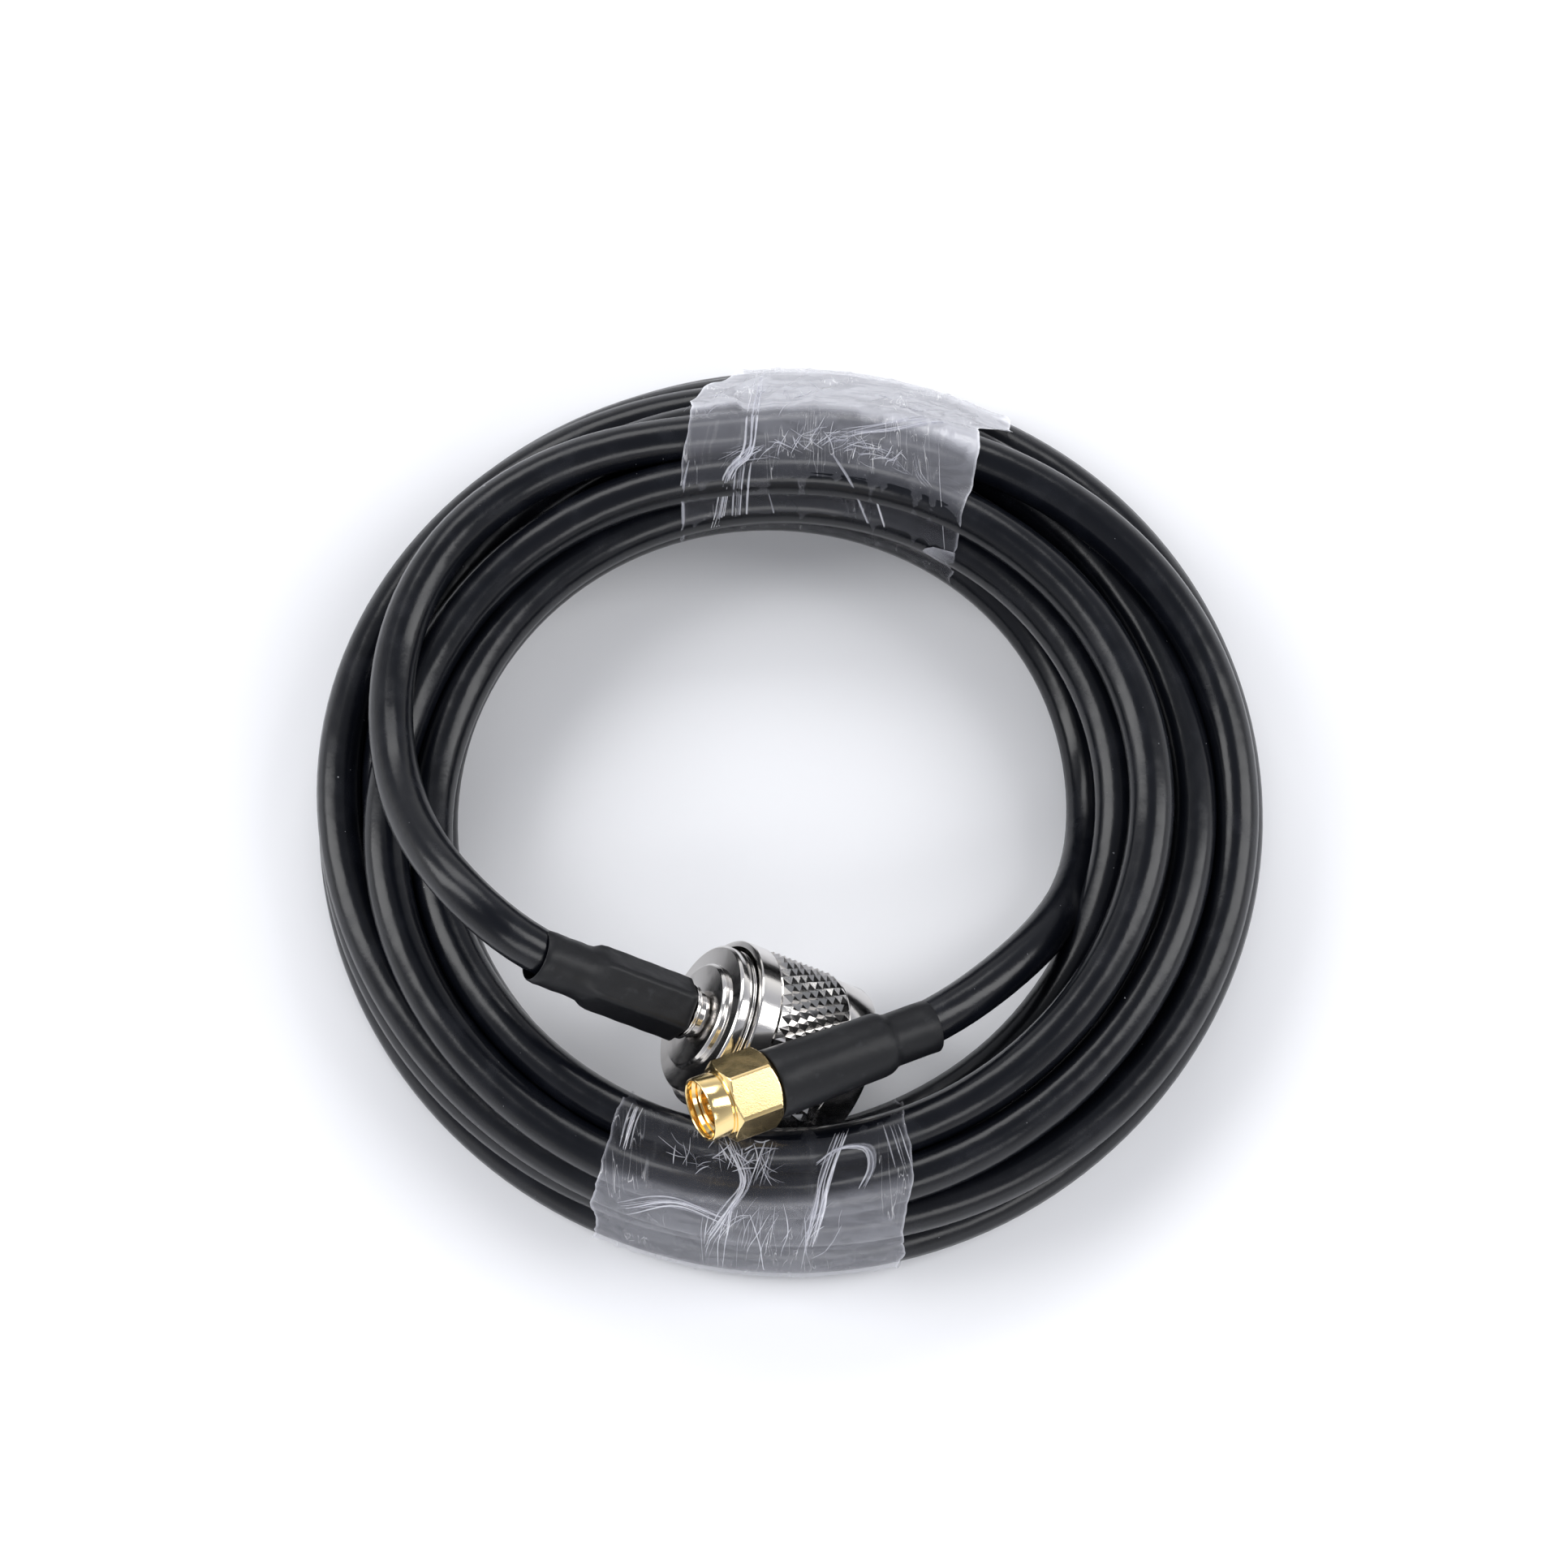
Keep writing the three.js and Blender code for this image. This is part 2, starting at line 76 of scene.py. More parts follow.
class Value:
    """A number that runs through a shader, worked on with Python's operators."""

    def __init__(self, shader: "Shader", socket: bpy.types.NodeSocket) -> None:
        """Wraps an output socket of a shader's node."""
        self.shader = shader
        self.socket = socket

    def _math(self, operation: str, *others: "Value | float") -> "Value":
        """Returns what a Math node makes of this value and the others."""
        inputs = dict(enumerate([self, *others]))
        node = self.shader.node("ShaderNodeMath", {"operation": operation}, inputs)
        return Value(self.shader, node.outputs[0])

    def __add__(self, other: "Value | float") -> "Value":
        """Returns the sum."""
        return self._math("ADD", other)

    __radd__ = __add__

    def __mul__(self, other: "Value | float") -> "Value":
        """Returns the product."""
        return self._math("MULTIPLY", other)

    __rmul__ = __mul__

    def __sub__(self, other: "Value | float") -> "Value":
        """Returns the difference."""
        return self._math("SUBTRACT", other)

    def __rsub__(self, other: float) -> "Value":
        """Returns the difference from a plain number."""
        return self._math("MULTIPLY", -1.0)._math("ADD", other)

    def __abs__(self) -> "Value":
        """Returns the size of this value without its sign."""
        return self._math("ABSOLUTE")

    def least(self, other: "Value | float") -> "Value":
        """Returns the smaller of two values."""
        return self._math("MINIMUM", other)

    def step(self, low: float, high: float) -> "Value":
        """Rises smoothly from 0 at the low value to 1 at the high one.

        Args:
            low: Where the rise starts.
            high: Where the rise ends.

        Returns:
            The smooth step.
        """
        node = self.shader.node("ShaderNodeMapRange", {"interpolation_type": "SMOOTHSTEP"},
                                {0: self, 1: low, 2: high, 3: 0.0, 4: 1.0})
        return Value(self.shader, node.outputs[0])


class Shader:
    """A material on one Principled surface, built node by node."""

    def __init__(self, name: str) -> None:
        """Starts an empty material."""
        self.material = bpy.data.materials.new(name)
        self.material.use_nodes = True
        self.tree = self.material.node_tree
        self.surface = next(n for n in self.tree.nodes if n.type == "BSDF_PRINCIPLED")

    def node(self, kind: str, settings: dict[str, object] | None = None,
             inputs: dict[int | str, object] | None = None) -> bpy.types.Node:
        """Adds a node of any type.

        Args:
            kind: The node's type.
            settings: Attributes, set before the sockets; "stops" fills a colour ramp.
            inputs: Socket names or numbers with their values or links.

        Returns:
            The new node.
        """
        node = self.tree.nodes.new(kind)
        for key, value in (settings or {}).items():
            if key == "stops":
                self.fill_ramp(node.color_ramp, value)
            else:
                setattr(node, key, value)
        for key, value in (inputs or {}).items():
            self.feed(node.inputs[key], value)
        return node

    @staticmethod
    def fill_ramp(ramp: bpy.types.ColorRamp, stops: Sequence[tuple[float, tuple]]) -> None:
        """Fills a colour ramp.

        Args:
            ramp: The ramp.
            stops: Places with their colours, first to last.
        """
        while len(ramp.elements) < len(stops):
            ramp.elements.new(1.0)
        for element, (place, colour) in zip(ramp.elements, stops):
            element.position = place
            element.color = (*colour, 1.0)

    def feed(self, socket: bpy.types.NodeSocket, value: object) -> None:
        """Links or sets one input.

        Args:
            socket: The input socket.
            value: A Value, an output socket, or a plain value.
        """
        if isinstance(value, Value):
            self.tree.links.new(value.socket, socket)
        elif isinstance(value, bpy.types.NodeSocket):
            self.tree.links.new(value, socket)
        else:
            socket.default_value = value

    def set(self, **inputs: object) -> None:
        """Sets sockets of the surface; underscores stand for spaces.

        Args:
            inputs: Socket names with their values or links.
        """
        for name, value in inputs.items():
            self.feed(self.surface.inputs[name.replace("_", " ")], value)

    def place(self) -> bpy.types.NodeSocket:
        """Returns the Object coordinates."""
        return self.node("ShaderNodeTexCoord").outputs["Object"]

    def noise(self, scale: float, detail: float = 3.0, vector: object = None,
              distortion: float = 0.0) -> Value:
        """Adds a noise pattern.

        Args:
            scale: Its scale.
            detail: Its detail.
            vector: Its coordinates, or Object coordinates.
            distortion: How much it is distorted.

        Returns:
            The pattern, around 0.5.
        """
        inputs = {"Vector": vector or self.place(), "Scale": scale, "Detail": detail,
                  "Distortion": distortion}
        return Value(self, self.node("ShaderNodeTexNoise", None, inputs).outputs[0])

    def stretched(self, vector: object, scale: tuple[float, float, float],
                  turn: float = 0.0) -> bpy.types.NodeSocket:
        """Scales and turns coordinates.

        Args:
            vector: The coordinates.
            scale: The factor along each axis.
            turn: The turn about Z, in degrees.

        Returns:
            The new coordinates.
        """
        inputs = {"Vector": vector, "Scale": scale, "Rotation": (0.0, 0.0, math.radians(turn))}
        return self.node("ShaderNodeMapping", None, inputs).outputs[0]

    def mix(self, share: object, first: object, second: object) -> bpy.types.NodeSocket:
        """Mixes two colours.

        Args:
            share: How much of the second shows.
            first: The first colour, plain or a socket.
            second: The second colour, plain or a socket.

        Returns:
            The mixed colour.
        """
        node = self.node("ShaderNodeMix", {"data_type": "RGBA"})
        for socket, value in ((0, share), (6, first), (7, second)):
            self.feed(node.inputs[socket], (*value, 1.0) if isinstance(value, tuple) else value)
        return node.outputs[2]

    def bump(self, height: Value, distance: float, strength: float = 1.0) -> bpy.types.NodeSocket:
        """Adds a Bump node.

        Args:
            height: The height pattern.
            distance: The height of its full range, in metres.
            strength: Its strength.

        Returns:
            The bent normal.
        """
        node = self.node("ShaderNodeBump", None,
                         {"Strength": strength, "Distance": distance, "Height": height})
        return node.outputs[0]


# Finishes


@dataclass(frozen=True)
class BlackJacket:
    """Smooth black cable jacket with faint rubs, dust and a soft sheen."""

    base: tuple[float, float, float] = (0.0028, 0.0034, 0.0056)
    rubbed: tuple[float, float, float] = (0.006, 0.007, 0.011)
    dust: tuple[float, float, float] = (0.30, 0.31, 0.33)

    def make(self) -> bpy.types.Material:
        """Returns the finished material."""
        shader = Shader("black_jacket")
        place = shader.place()
        rub = shader.noise(260.0, 4.0, place).step(0.45, 0.75)
        speck = shader.noise(1900.0, 1.0, place).step(0.79, 0.82)
        patch = shader.noise(120.0, 2.0, place).step(0.50, 0.64)
        dust = speck * patch
        dusted = shader.mix(dust, shader.mix(rub * 0.6, self.base, self.rubbed), self.dust)
        ripple = shader.noise(150.0, 2.0, place)
        grain = shader.noise(2600.0, 2.0, place)
        shader.set(Base_Color=dusted, Roughness=rub * 0.07 + 0.23 + dust * 0.4,
                   Specular_IOR_Level=0.36, IOR=1.5,
                   Normal=shader.bump(ripple + grain * 0.05, 0.00035, 0.5))
        return shader.material


@dataclass(frozen=True)
class MatteShrink:
    """Heat-shrink sleeve, matte black with a fine grain and pale scuffs."""

    base: tuple[float, float, float] = (0.0042, 0.0046, 0.0062)
    scuff: tuple[float, float, float] = (0.018, 0.019, 0.022)

    def make(self) -> bpy.types.Material:
        """Returns the finished material."""
        shader = Shader("matte_shrink")
        place = shader.place()
        scuff = shader.noise(700.0, 5.0, place).step(0.58, 0.74)
        wave = shader.noise(330.0, 2.0, place)
        grain = shader.noise(5200.0, 2.0, place)
        shader.set(Base_Color=shader.mix(scuff * 0.7, self.base, self.scuff),
                   Roughness=scuff * 0.12 + 0.44, Specular_IOR_Level=0.30,
                   Normal=shader.bump(wave + grain * 0.08, 0.00022, 0.6))
        return shader.material


@dataclass(frozen=True)
class Plating:
    """Bright metal plating with turning marks and faint smudges."""

    name: str
    base: tuple[float, float, float]
    dulled: tuple[float, float, float]
    roughness: float = 0.12

    def make(self) -> bpy.types.Material:
        """Returns the finished material."""
        shader = Shader(self.name)
        place = shader.place()
        smudge = shader.noise(420.0, 3.0, place).step(0.45, 0.7)
        fine = shader.noise(6000.0, 2.0, place)
        shader.set(Base_Color=shader.mix(smudge * 0.5, self.base, self.dulled), Metallic=1.0,
                   Roughness=smudge * 0.06 + self.roughness,
                   Normal=shader.bump(fine, 0.00001, 0.35))
        return shader.material


@dataclass(frozen=True)
class WhitePtfe:
    """Waxy white insulator."""

    base: tuple[float, float, float] = (0.86, 0.85, 0.80)
    worn: tuple[float, float, float] = (0.78, 0.76, 0.70)

    def make(self) -> bpy.types.Material:
        """Returns the finished material."""
        shader = Shader("white_ptfe")
        cloud = shader.noise(900.0, 3.0)
        shader.set(Base_Color=shader.mix(cloud, self.base, self.worn),
                   Roughness=cloud * 0.1 + 0.4,
                   Normal=shader.bump(shader.noise(4000.0), 0.00003, 0.4))
        return shader.material


@dataclass(frozen=True)
class GasketBlack:
    """Black rubber with a fine tooth."""

    base: tuple[float, float, float] = (0.008, 0.008, 0.008)
    bloom: tuple[float, float, float] = (0.03, 0.03, 0.03)

    def make(self) -> bpy.types.Material:
        """Returns the finished material."""
        shader = Shader("gasket_black")
        bloom = shader.noise(1200.0, 4.0)
        shader.set(Base_Color=shader.mix(bloom * 0.5, self.base, self.bloom),
                   Roughness=bloom * 0.1 + 0.62,
                   Normal=shader.bump(shader.noise(6000.0), 0.00004, 0.5))
        return shader.material


@dataclass(frozen=True)
class ClearWrap:
    """Thin clear film: glossy, with its own faint haze, a painted reflection of the bright surroundings
    where it wraps the pile's outer side, and fine creases with a painted white glint.
    """

    tint: tuple[float, float, float] = (0.66, 0.67, 0.76)
    # Whitish colour that the haze, the painted reflection and the painted crease glints turn the film
    # towards.
    crease: tuple[float, float, float] = (0.93, 0.93, 0.96)

    def make(self) -> bpy.types.Material:
        """Returns the finished material."""
        shader = Shader("clear_wrap")
        place = shader.place()
        # Per-vertex attribute: the film's faint haze plus painted reflection of the bright surroundings on
        # the outer slope, painted highlights at the cut edges and painted glints on the crease tents.
        haze_and_reflection = shader.node("ShaderNodeAttribute", {"attribute_name": "haze_and_reflection"})
        haze_reflection = Value(shader, haze_and_reflection.outputs["Fac"])
        lines = shader.noise(1.0, 2.0, shader.stretched(place, (900.0, 110.0, 110.0), 6.0), 0.8)
        where = shader.noise(1.0, 2.0, shader.stretched(place, (150.0, 120.0, 120.0)))
        # Fine crease lines, which get a painted white glint below.
        creases = abs(lines - 0.5).step(0.012, 0.0) * where.step(0.50, 0.62)
        patches = shader.noise(1.0, 2.0, shader.stretched(place, (170.0, 330.0, 330.0), -14.0), 1.2)
        clung = patches.step(0.46, 0.52) * 0.16 + 0.88
        cloud = shader.noise(700.0, 4.0, place)
        alpha = (haze_reflection * clung * (cloud * 0.3 + 0.85) + creases * 0.25).least(1.0)
        # Whitening from the haze, the painted reflection and the painted crease glints.
        haze_reflection_and_glint = (haze_reflection * 0.7 + creases).least(1.0)
        shader.set(Base_Color=shader.mix(haze_reflection_and_glint, self.tint, self.crease), Alpha=alpha,
                   Roughness=cloud * 0.14 + 0.10, Specular_IOR_Level=0.9,
                   Normal=shader.bump(lines * 0.7 + patches * 0.3, 0.0003, 0.45))
        return shader.material


@dataclass(frozen=True)
class PaleFloor:
    """The pale surface that the lead lies on."""

    colour: tuple[float, float, float] = (0.86, 0.865, 0.89)

    def make(self) -> bpy.types.Material:
        """Returns the finished material."""
        shader = Shader("pale_floor")
        tooth = shader.noise(900.0, 3.0)
        shader.set(Base_Color=(*self.colour, 1.0), Roughness=0.75,
                   Normal=shader.bump(tooth, 0.00005, 0.25))
        return shader.material


# Meshes


def add(name: str, data: bpy.types.ID) -> bpy.types.Object:
    """Adds an object to the scene."""
    item = bpy.data.objects.new(name, data)
    bpy.context.scene.collection.objects.link(item)
    return item


def finish_mesh(name: str, mesh: bmesh.types.BMesh, look: bpy.types.Material, body: str,
                sharp: float) -> bpy.types.Object:
    """Turns a bmesh into a piece that rides on a body.

    Args:
        name: The piece's name.
        mesh: The finished bmesh, which is freed.
        look: Its material.
        body: The body that it rides on.
        sharp: Edges steeper than this stay sharp, in degrees.

    Returns:
        The new object.
    """
    data = bpy.data.meshes.new(name)
    mesh.to_mesh(data)
    mesh.free()
    data.materials.append(look)
    data.shade_smooth()
    data.set_sharp_from_angle(angle=math.radians(sharp))
    piece = add(name, data)
    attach(piece, body)
    return piece


def turned(profile: Sequence[tuple[float, float]], steps: int = 96) -> bmesh.types.BMesh:
    """Spins a profile about Z into a closed solid.

    Args:
        profile: Points as (radius, height) in mm, outer side upwards; it closes on itself or on
            the axis.
        steps: Steps in the full turn.

    Returns:
        The solid.
    """
    mesh = bmesh.new()
    points = [mesh.verts.new((radius * MM, 0.0, height * MM)) for radius, height in profile]
    closed = all(radius > 0 for radius, _ in profile)
    pairs = list(zip(points, points[1:])) + ([(points[-1], points[0])] if closed else [])
    edges = [mesh.edges.new(pair) for pair in pairs]
    bmesh.ops.spin(mesh, geom=[*points, *edges], cent=(0, 0, 0), axis=(0, 0, 1),
                   angle=math.tau, steps=steps, use_merge=True)
    bmesh.ops.remove_doubles(mesh, verts=mesh.verts[:], dist=1e-7)
    bmesh.ops.recalc_face_normals(mesh, faces=mesh.faces[:])
    return mesh


def eased(profile: Sequence[tuple[float, float]], ease: float = 0.12, steps: int = 3
          ) -> list[tuple[float, float]]:
    """Rounds a profile's corners.

    Args:
        profile: Points as (radius, height) in mm.
        ease: The rounding, in mm, at most a third of each neighbouring side.
        steps: Points on each rounding.

    Returns:
        The rounded profile.
    """
    count = len(profile)
    closed = all(radius > 0 for radius, _ in profile)
    rounded: list[tuple[float, float]] = []
    for i, point in enumerate(profile):
        if not closed and i in (0, count - 1):
            rounded.append(point)
            continue
        here = Vector(point)
        before = Vector(profile[i - 1]) - here
        after = Vector(profile[(i + 1) % count]) - here
        reach = min(ease, before.length / 3, after.length / 3)
        start = here + before.normalized() * reach
        end = here + after.normalized() * reach
        for j in range(steps + 1):
            share = j / steps
            curve = start.lerp(here, share).lerp(here.lerp(end, share), share)
            rounded.append((max(curve.x, 0.0), curve.y))
    return rounded


def washer(inner: float, outer: float, low: float, high: float, ease: float = 0.1
           ) -> bmesh.types.BMesh:
    """Returns a flat ring.

    Args:
        inner: Its inner radius.
        outer: Its outer radius.
        low: Where it starts along the axis.
        high: Where it ends.
        ease: The rounding of its edges.
    """
    return turned(eased([(inner, low), (outer, low), (outer, high), (inner, high)], ease))


def between(start: tuple[float, float], end: tuple[float, float], parts: int
            ) -> list[tuple[float, float]]:
    """Returns evenly spaced points from one place to another, both included."""
    return [(start[0] + (end[0] - start[0]) * i / parts, start[1] + (end[1] - start[1]) * i / parts)
            for i in range(parts + 1)]


def thread(radius: float, depth: float, pitch: float, start: float, end: float
           ) -> list[tuple[float, float]]:
    """Returns the profile of an inside thread's rings.

    Args:
        radius: The radius of the crests.
        depth: How much wider the grooves are.
        pitch: The way from crest to crest.
        start: Where the thread starts along the axis.
        end: Where it ends, lower down.
    """
    points = []
    while start > end:
        points += [(radius, start), (radius + depth, start - pitch / 2)]
        start -= pitch
    return points


def polar(vert: bmesh.types.BMVert) -> tuple[float, float, float]:
    """Returns a vertex's radius in mm, its angle in radians and its height in mm."""
    return math.hypot(vert.co.x, vert.co.y) / MM, math.atan2(vert.co.y, vert.co.x), vert.co.z / MM


def widen(vert: bmesh.types.BMVert, factor: float) -> None:
    """Moves a vertex out from the axis, or in towards it, by a factor."""
    vert.co.x *= factor
    vert.co.y *= factor


def hex_radius(angle: float, across_flats: float, turn: float = 0.0) -> float:
    """Returns a hexagon's radius in one direction.

    Args:
        angle: The direction, in radians.
        across_flats: The hexagon's width over its flats.
        turn: How far a flat's middle is turned from the X axis, in radians.
    """
    sector = math.tau / 6
    off = (angle - turn + sector / 2) % sector - sector / 2
    return across_flats / 2 / math.cos(off)


@dataclass
class PlugFrame:
    """Where a plug lies: local +Z runs out of its mating end, and +Y is its upper side.

    Lengths are in mm and angles in degrees.
    """

    place: tuple[float, float, float]
    heading: float
    slope: float

    def matrix(self) -> Matrix:
        """Returns the matrix from the plug's own metres to the lead's."""
        heading, slope = math.radians(self.heading), math.radians(self.slope)
        axis = Vector((math.cos(slope) * math.cos(heading), math.cos(slope) * math.sin(heading),
                       math.sin(slope)))
        across = Vector((0, 0, 1)).cross(axis).normalized()
        up = axis.cross(across)
        turn = Matrix((across, up, axis)).transposed().to_4x4()
        return Matrix.Translation(Vector(self.place) * MM) @ turn

    def on_axis(self, along: float) -> Vector:
        """Returns the point on the axis this far along it, in mm."""
        return (self.matrix() @ Vector((0, 0, along * MM))) / MM

    def seat(self, mesh: bmesh.types.BMesh) -> bmesh.types.BMesh:
        """Moves a mesh from the plug's own frame into place.

        Args:
            mesh: The mesh, in the plug's frame.

        Returns:
            The same mesh.
        """
        bmesh.ops.transform(mesh, matrix=self.matrix(), verts=mesh.verts[:])
        return mesh

    def piece(self, name: str, node: str, mesh: bmesh.types.BMesh, look: bpy.types.Material,
              slot: Slot, body: str = ROOT, sharp: float = 30.0) -> bpy.types.Object:
        """Seats a piece on the plug and lets it stand for its node.

        Args:
            name: The piece's name.
            node: The node that it replaces.
            mesh: Its mesh, in the plug's frame.
            look: Its material.
            slot: Its slot in the record; not used.
            body: The body that it rides on.
            sharp: Edges steeper than this stay sharp, in degrees.

        Returns:
            The piece.
        """
        made = finish_mesh(name, self.seat(mesh), look, body, sharp)
        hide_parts(node)
        return made


N_FRAME = PlugFrame((-8.08, -28.89, 16.6), -12.6, -31.8)
SMA_FRAME = PlugFrame((-9.4, -41.6, 28.15), -155.4, 16.2)


# Cable


FINE = 12  # parts between two points of a line that is drawn
SEARCH = 8  # and of one that is only searched


def catmull(points: np.ndarray, parts: int) -> np.ndarray:
    """Draws a smooth line through points.

    Args:
        points: The points, one a row.
        parts: Parts between each two.

    Returns:
        The finer line, one point a row.
    """
    ends = np.vstack([2 * points[0] - points[1], points, 2 * points[-1] - points[-2]])
    line = []
    for a, b, c, d in zip(ends, ends[1:], ends[2:], ends[3:]):
        for step in range(parts):
            t = step / parts
            line.append(0.5 * (2 * b + (c - a) * t + (2 * a - 5 * b + 4 * c - d) * t ** 2
                               + (3 * b - a - 3 * c + d) * t ** 3))
    line.append(points[-1])
    return np.array(line)


@dataclass
class Pile:
    """The wound part of the cable: each turn's place in the pile, settled so that turns touch.

    A turn is a row of (radius, height) in mm at the stations' bearings. Settling takes a number
    of rounds; in each the turns are pushed apart to the gap, then smoothed and pulled back.
    """

    cable: float = 5.0
    step: float = 7.5
    rim: float = 51.85
    end: tuple[float, float] = (34.6, 3.0)
    rounds: int = 260
    gap: float = 1.006
    push: float = 0.8
    smoothing: float = 0.35
    pull: float = 0.02
    stations: tuple[float, ...] = (180, 135, 90, 45, 0, -45, -90, -135)
    turns: tuple[tuple[tuple[float, float], ...], ...] = (
        ((44.1, 21.6), (44.9, 20.8), (38.9, 20.3), (43.2, 18.8),
         (50.6, 12.9), (51.2, 10.5), (50.0, 11.6), (49.5, 12.0)),
        ((50.6, 12.6), (49.0, 12.6), (45.6, 11.3), (46.6, 10.5),
         (46.4, 10.2), (48.2, 8.5), (49.9, 7.3), (50.6, 7.3)),
        ((51.3, 7.5), (50.9, 7.2), (48.8, 6.9), (50.4, 7.2),
         (51.4, 7.6), (51.6, 4.5), (51.2, 2.5), (51.0, 2.5)),
        ((51.4, 2.5), (51.7, 2.5), (51.85, 2.5), (51.85, 2.5),
         (51.4, 2.5), (47.5, 2.5), (46.2, 2.5), (45.8, 2.5)),
        ((46.4, 2.5), (46.7, 2.5), (46.8, 2.5), (46.6, 3.5),
         (46.4, 5.0), (44.5, 6.0), (44.9, 7.2), (45.4, 7.4)),
        ((46.3, 7.5), (42.0, 11.0), (37.2, 15.6), (39.5, 13.5),
         (41.5, 11.0), (43.0, 11.0), (44.9, 11.7), (44.4, 12.2)),
        ((46.2, 12.3), (44.6, 15.0), (42.2, 15.7), (43.0, 14.0),
         (46.5, 15.3), (47.0, 16.4), (49.5, 16.3), (48.4, 16.5)),
        ((46.4, 17.0), (38.4, 19.1), (33.8, 20.0), (36.2, 19.9),
         (41.0, 19.9), (42.4, 18.6), (44.9, 17.3), (43.6, 17.0)),
        ((41.3, 15.0), (35.2, 15.2), (32.4, 15.2), (34.0, 15.5),
         (37.6, 15.5), (39.8, 10.0), (41.9, 2.7), (41.2, 3.5)),
        ((41.3, 6.0), (37.5, 8.0), (33.6, 10.4), (36.0, 3.4)),
    )

    def rows(self, first: float, last: float) -> tuple[np.ndarray, np.ndarray]:
        """Spreads the table over evenly spaced bearings.

        Args:
            first: The bearing that the pile starts at.
            last: The bearing that it ends at, counted on downwards over the turns.

        Returns:
            The bearings, and the radius and height at each.
        """
        table = [(bearing - 360.0 * turn, *spot) for turn, spots in enumerate(self.turns)
                 for bearing, spot in zip(self.stations, spots)]
        table.append((last, *self.end))
        table = np.array(sorted(table))
        bearings = np.arange(first, last - 1e-6, -self.step)
        fine = catmull(table, FINE)
        order = np.argsort(fine[:, 0])
        spread = [np.interp(bearings, fine[order, 0], fine[order, column]) for column in (1, 2)]
        return bearings, np.stack(spread, axis=1)

    def settle(self, bearings: np.ndarray, spots: np.ndarray, guards: dict[int, list]) -> np.ndarray:
        """Pushes turns apart where they would lie in each other.

        Args:
            bearings: The bearings of the spots.
            spots: The radius and height at each.
            guards: Fixed spots of the free stretches, by the number of their plane.

        Returns:
            The settled radii and heights.
        """
        aim, now = spots.copy(), spots.copy()
        count = int(360 / self.step)
        planes = np.round(bearings / self.step).astype(int) % count
        groups = [np.flatnonzero(planes == plane) for plane in range(count)]
        for _ in range(self.rounds):
            for plane, members in enumerate(groups):
                fixed = np.array(guards.get(plane, [])).reshape(-1, 2)
                here = np.vstack([now[members], fixed])
                gaps = here[:, None] - here[None]
                far = np.linalg.norm(gaps, axis=2)
                np.fill_diagonal(far, math.inf)
                push = np.clip(self.cable * self.gap - far, 0, None)
                share = np.where(np.arange(len(here))[None] >= len(members), 1.0, 0.5)
                moves = (gaps / far[:, :, None] * (push * share)[:, :, None]).sum(axis=1)
                now[members] += moves[:len(members)] * self.push
            smooth = now.copy()
            smooth[1:-1] = (now[:-2] + now[2:]) / 2
            now += (smooth - now) * self.smoothing + (aim - now) * self.pull
            now[:, 0] = np.minimum(now[:, 0], self.rim)
            now[:, 1] = np.maximum(now[:, 1], self.cable / 2)
            now[0], now[-1] = aim[0], aim[-1]
        return now


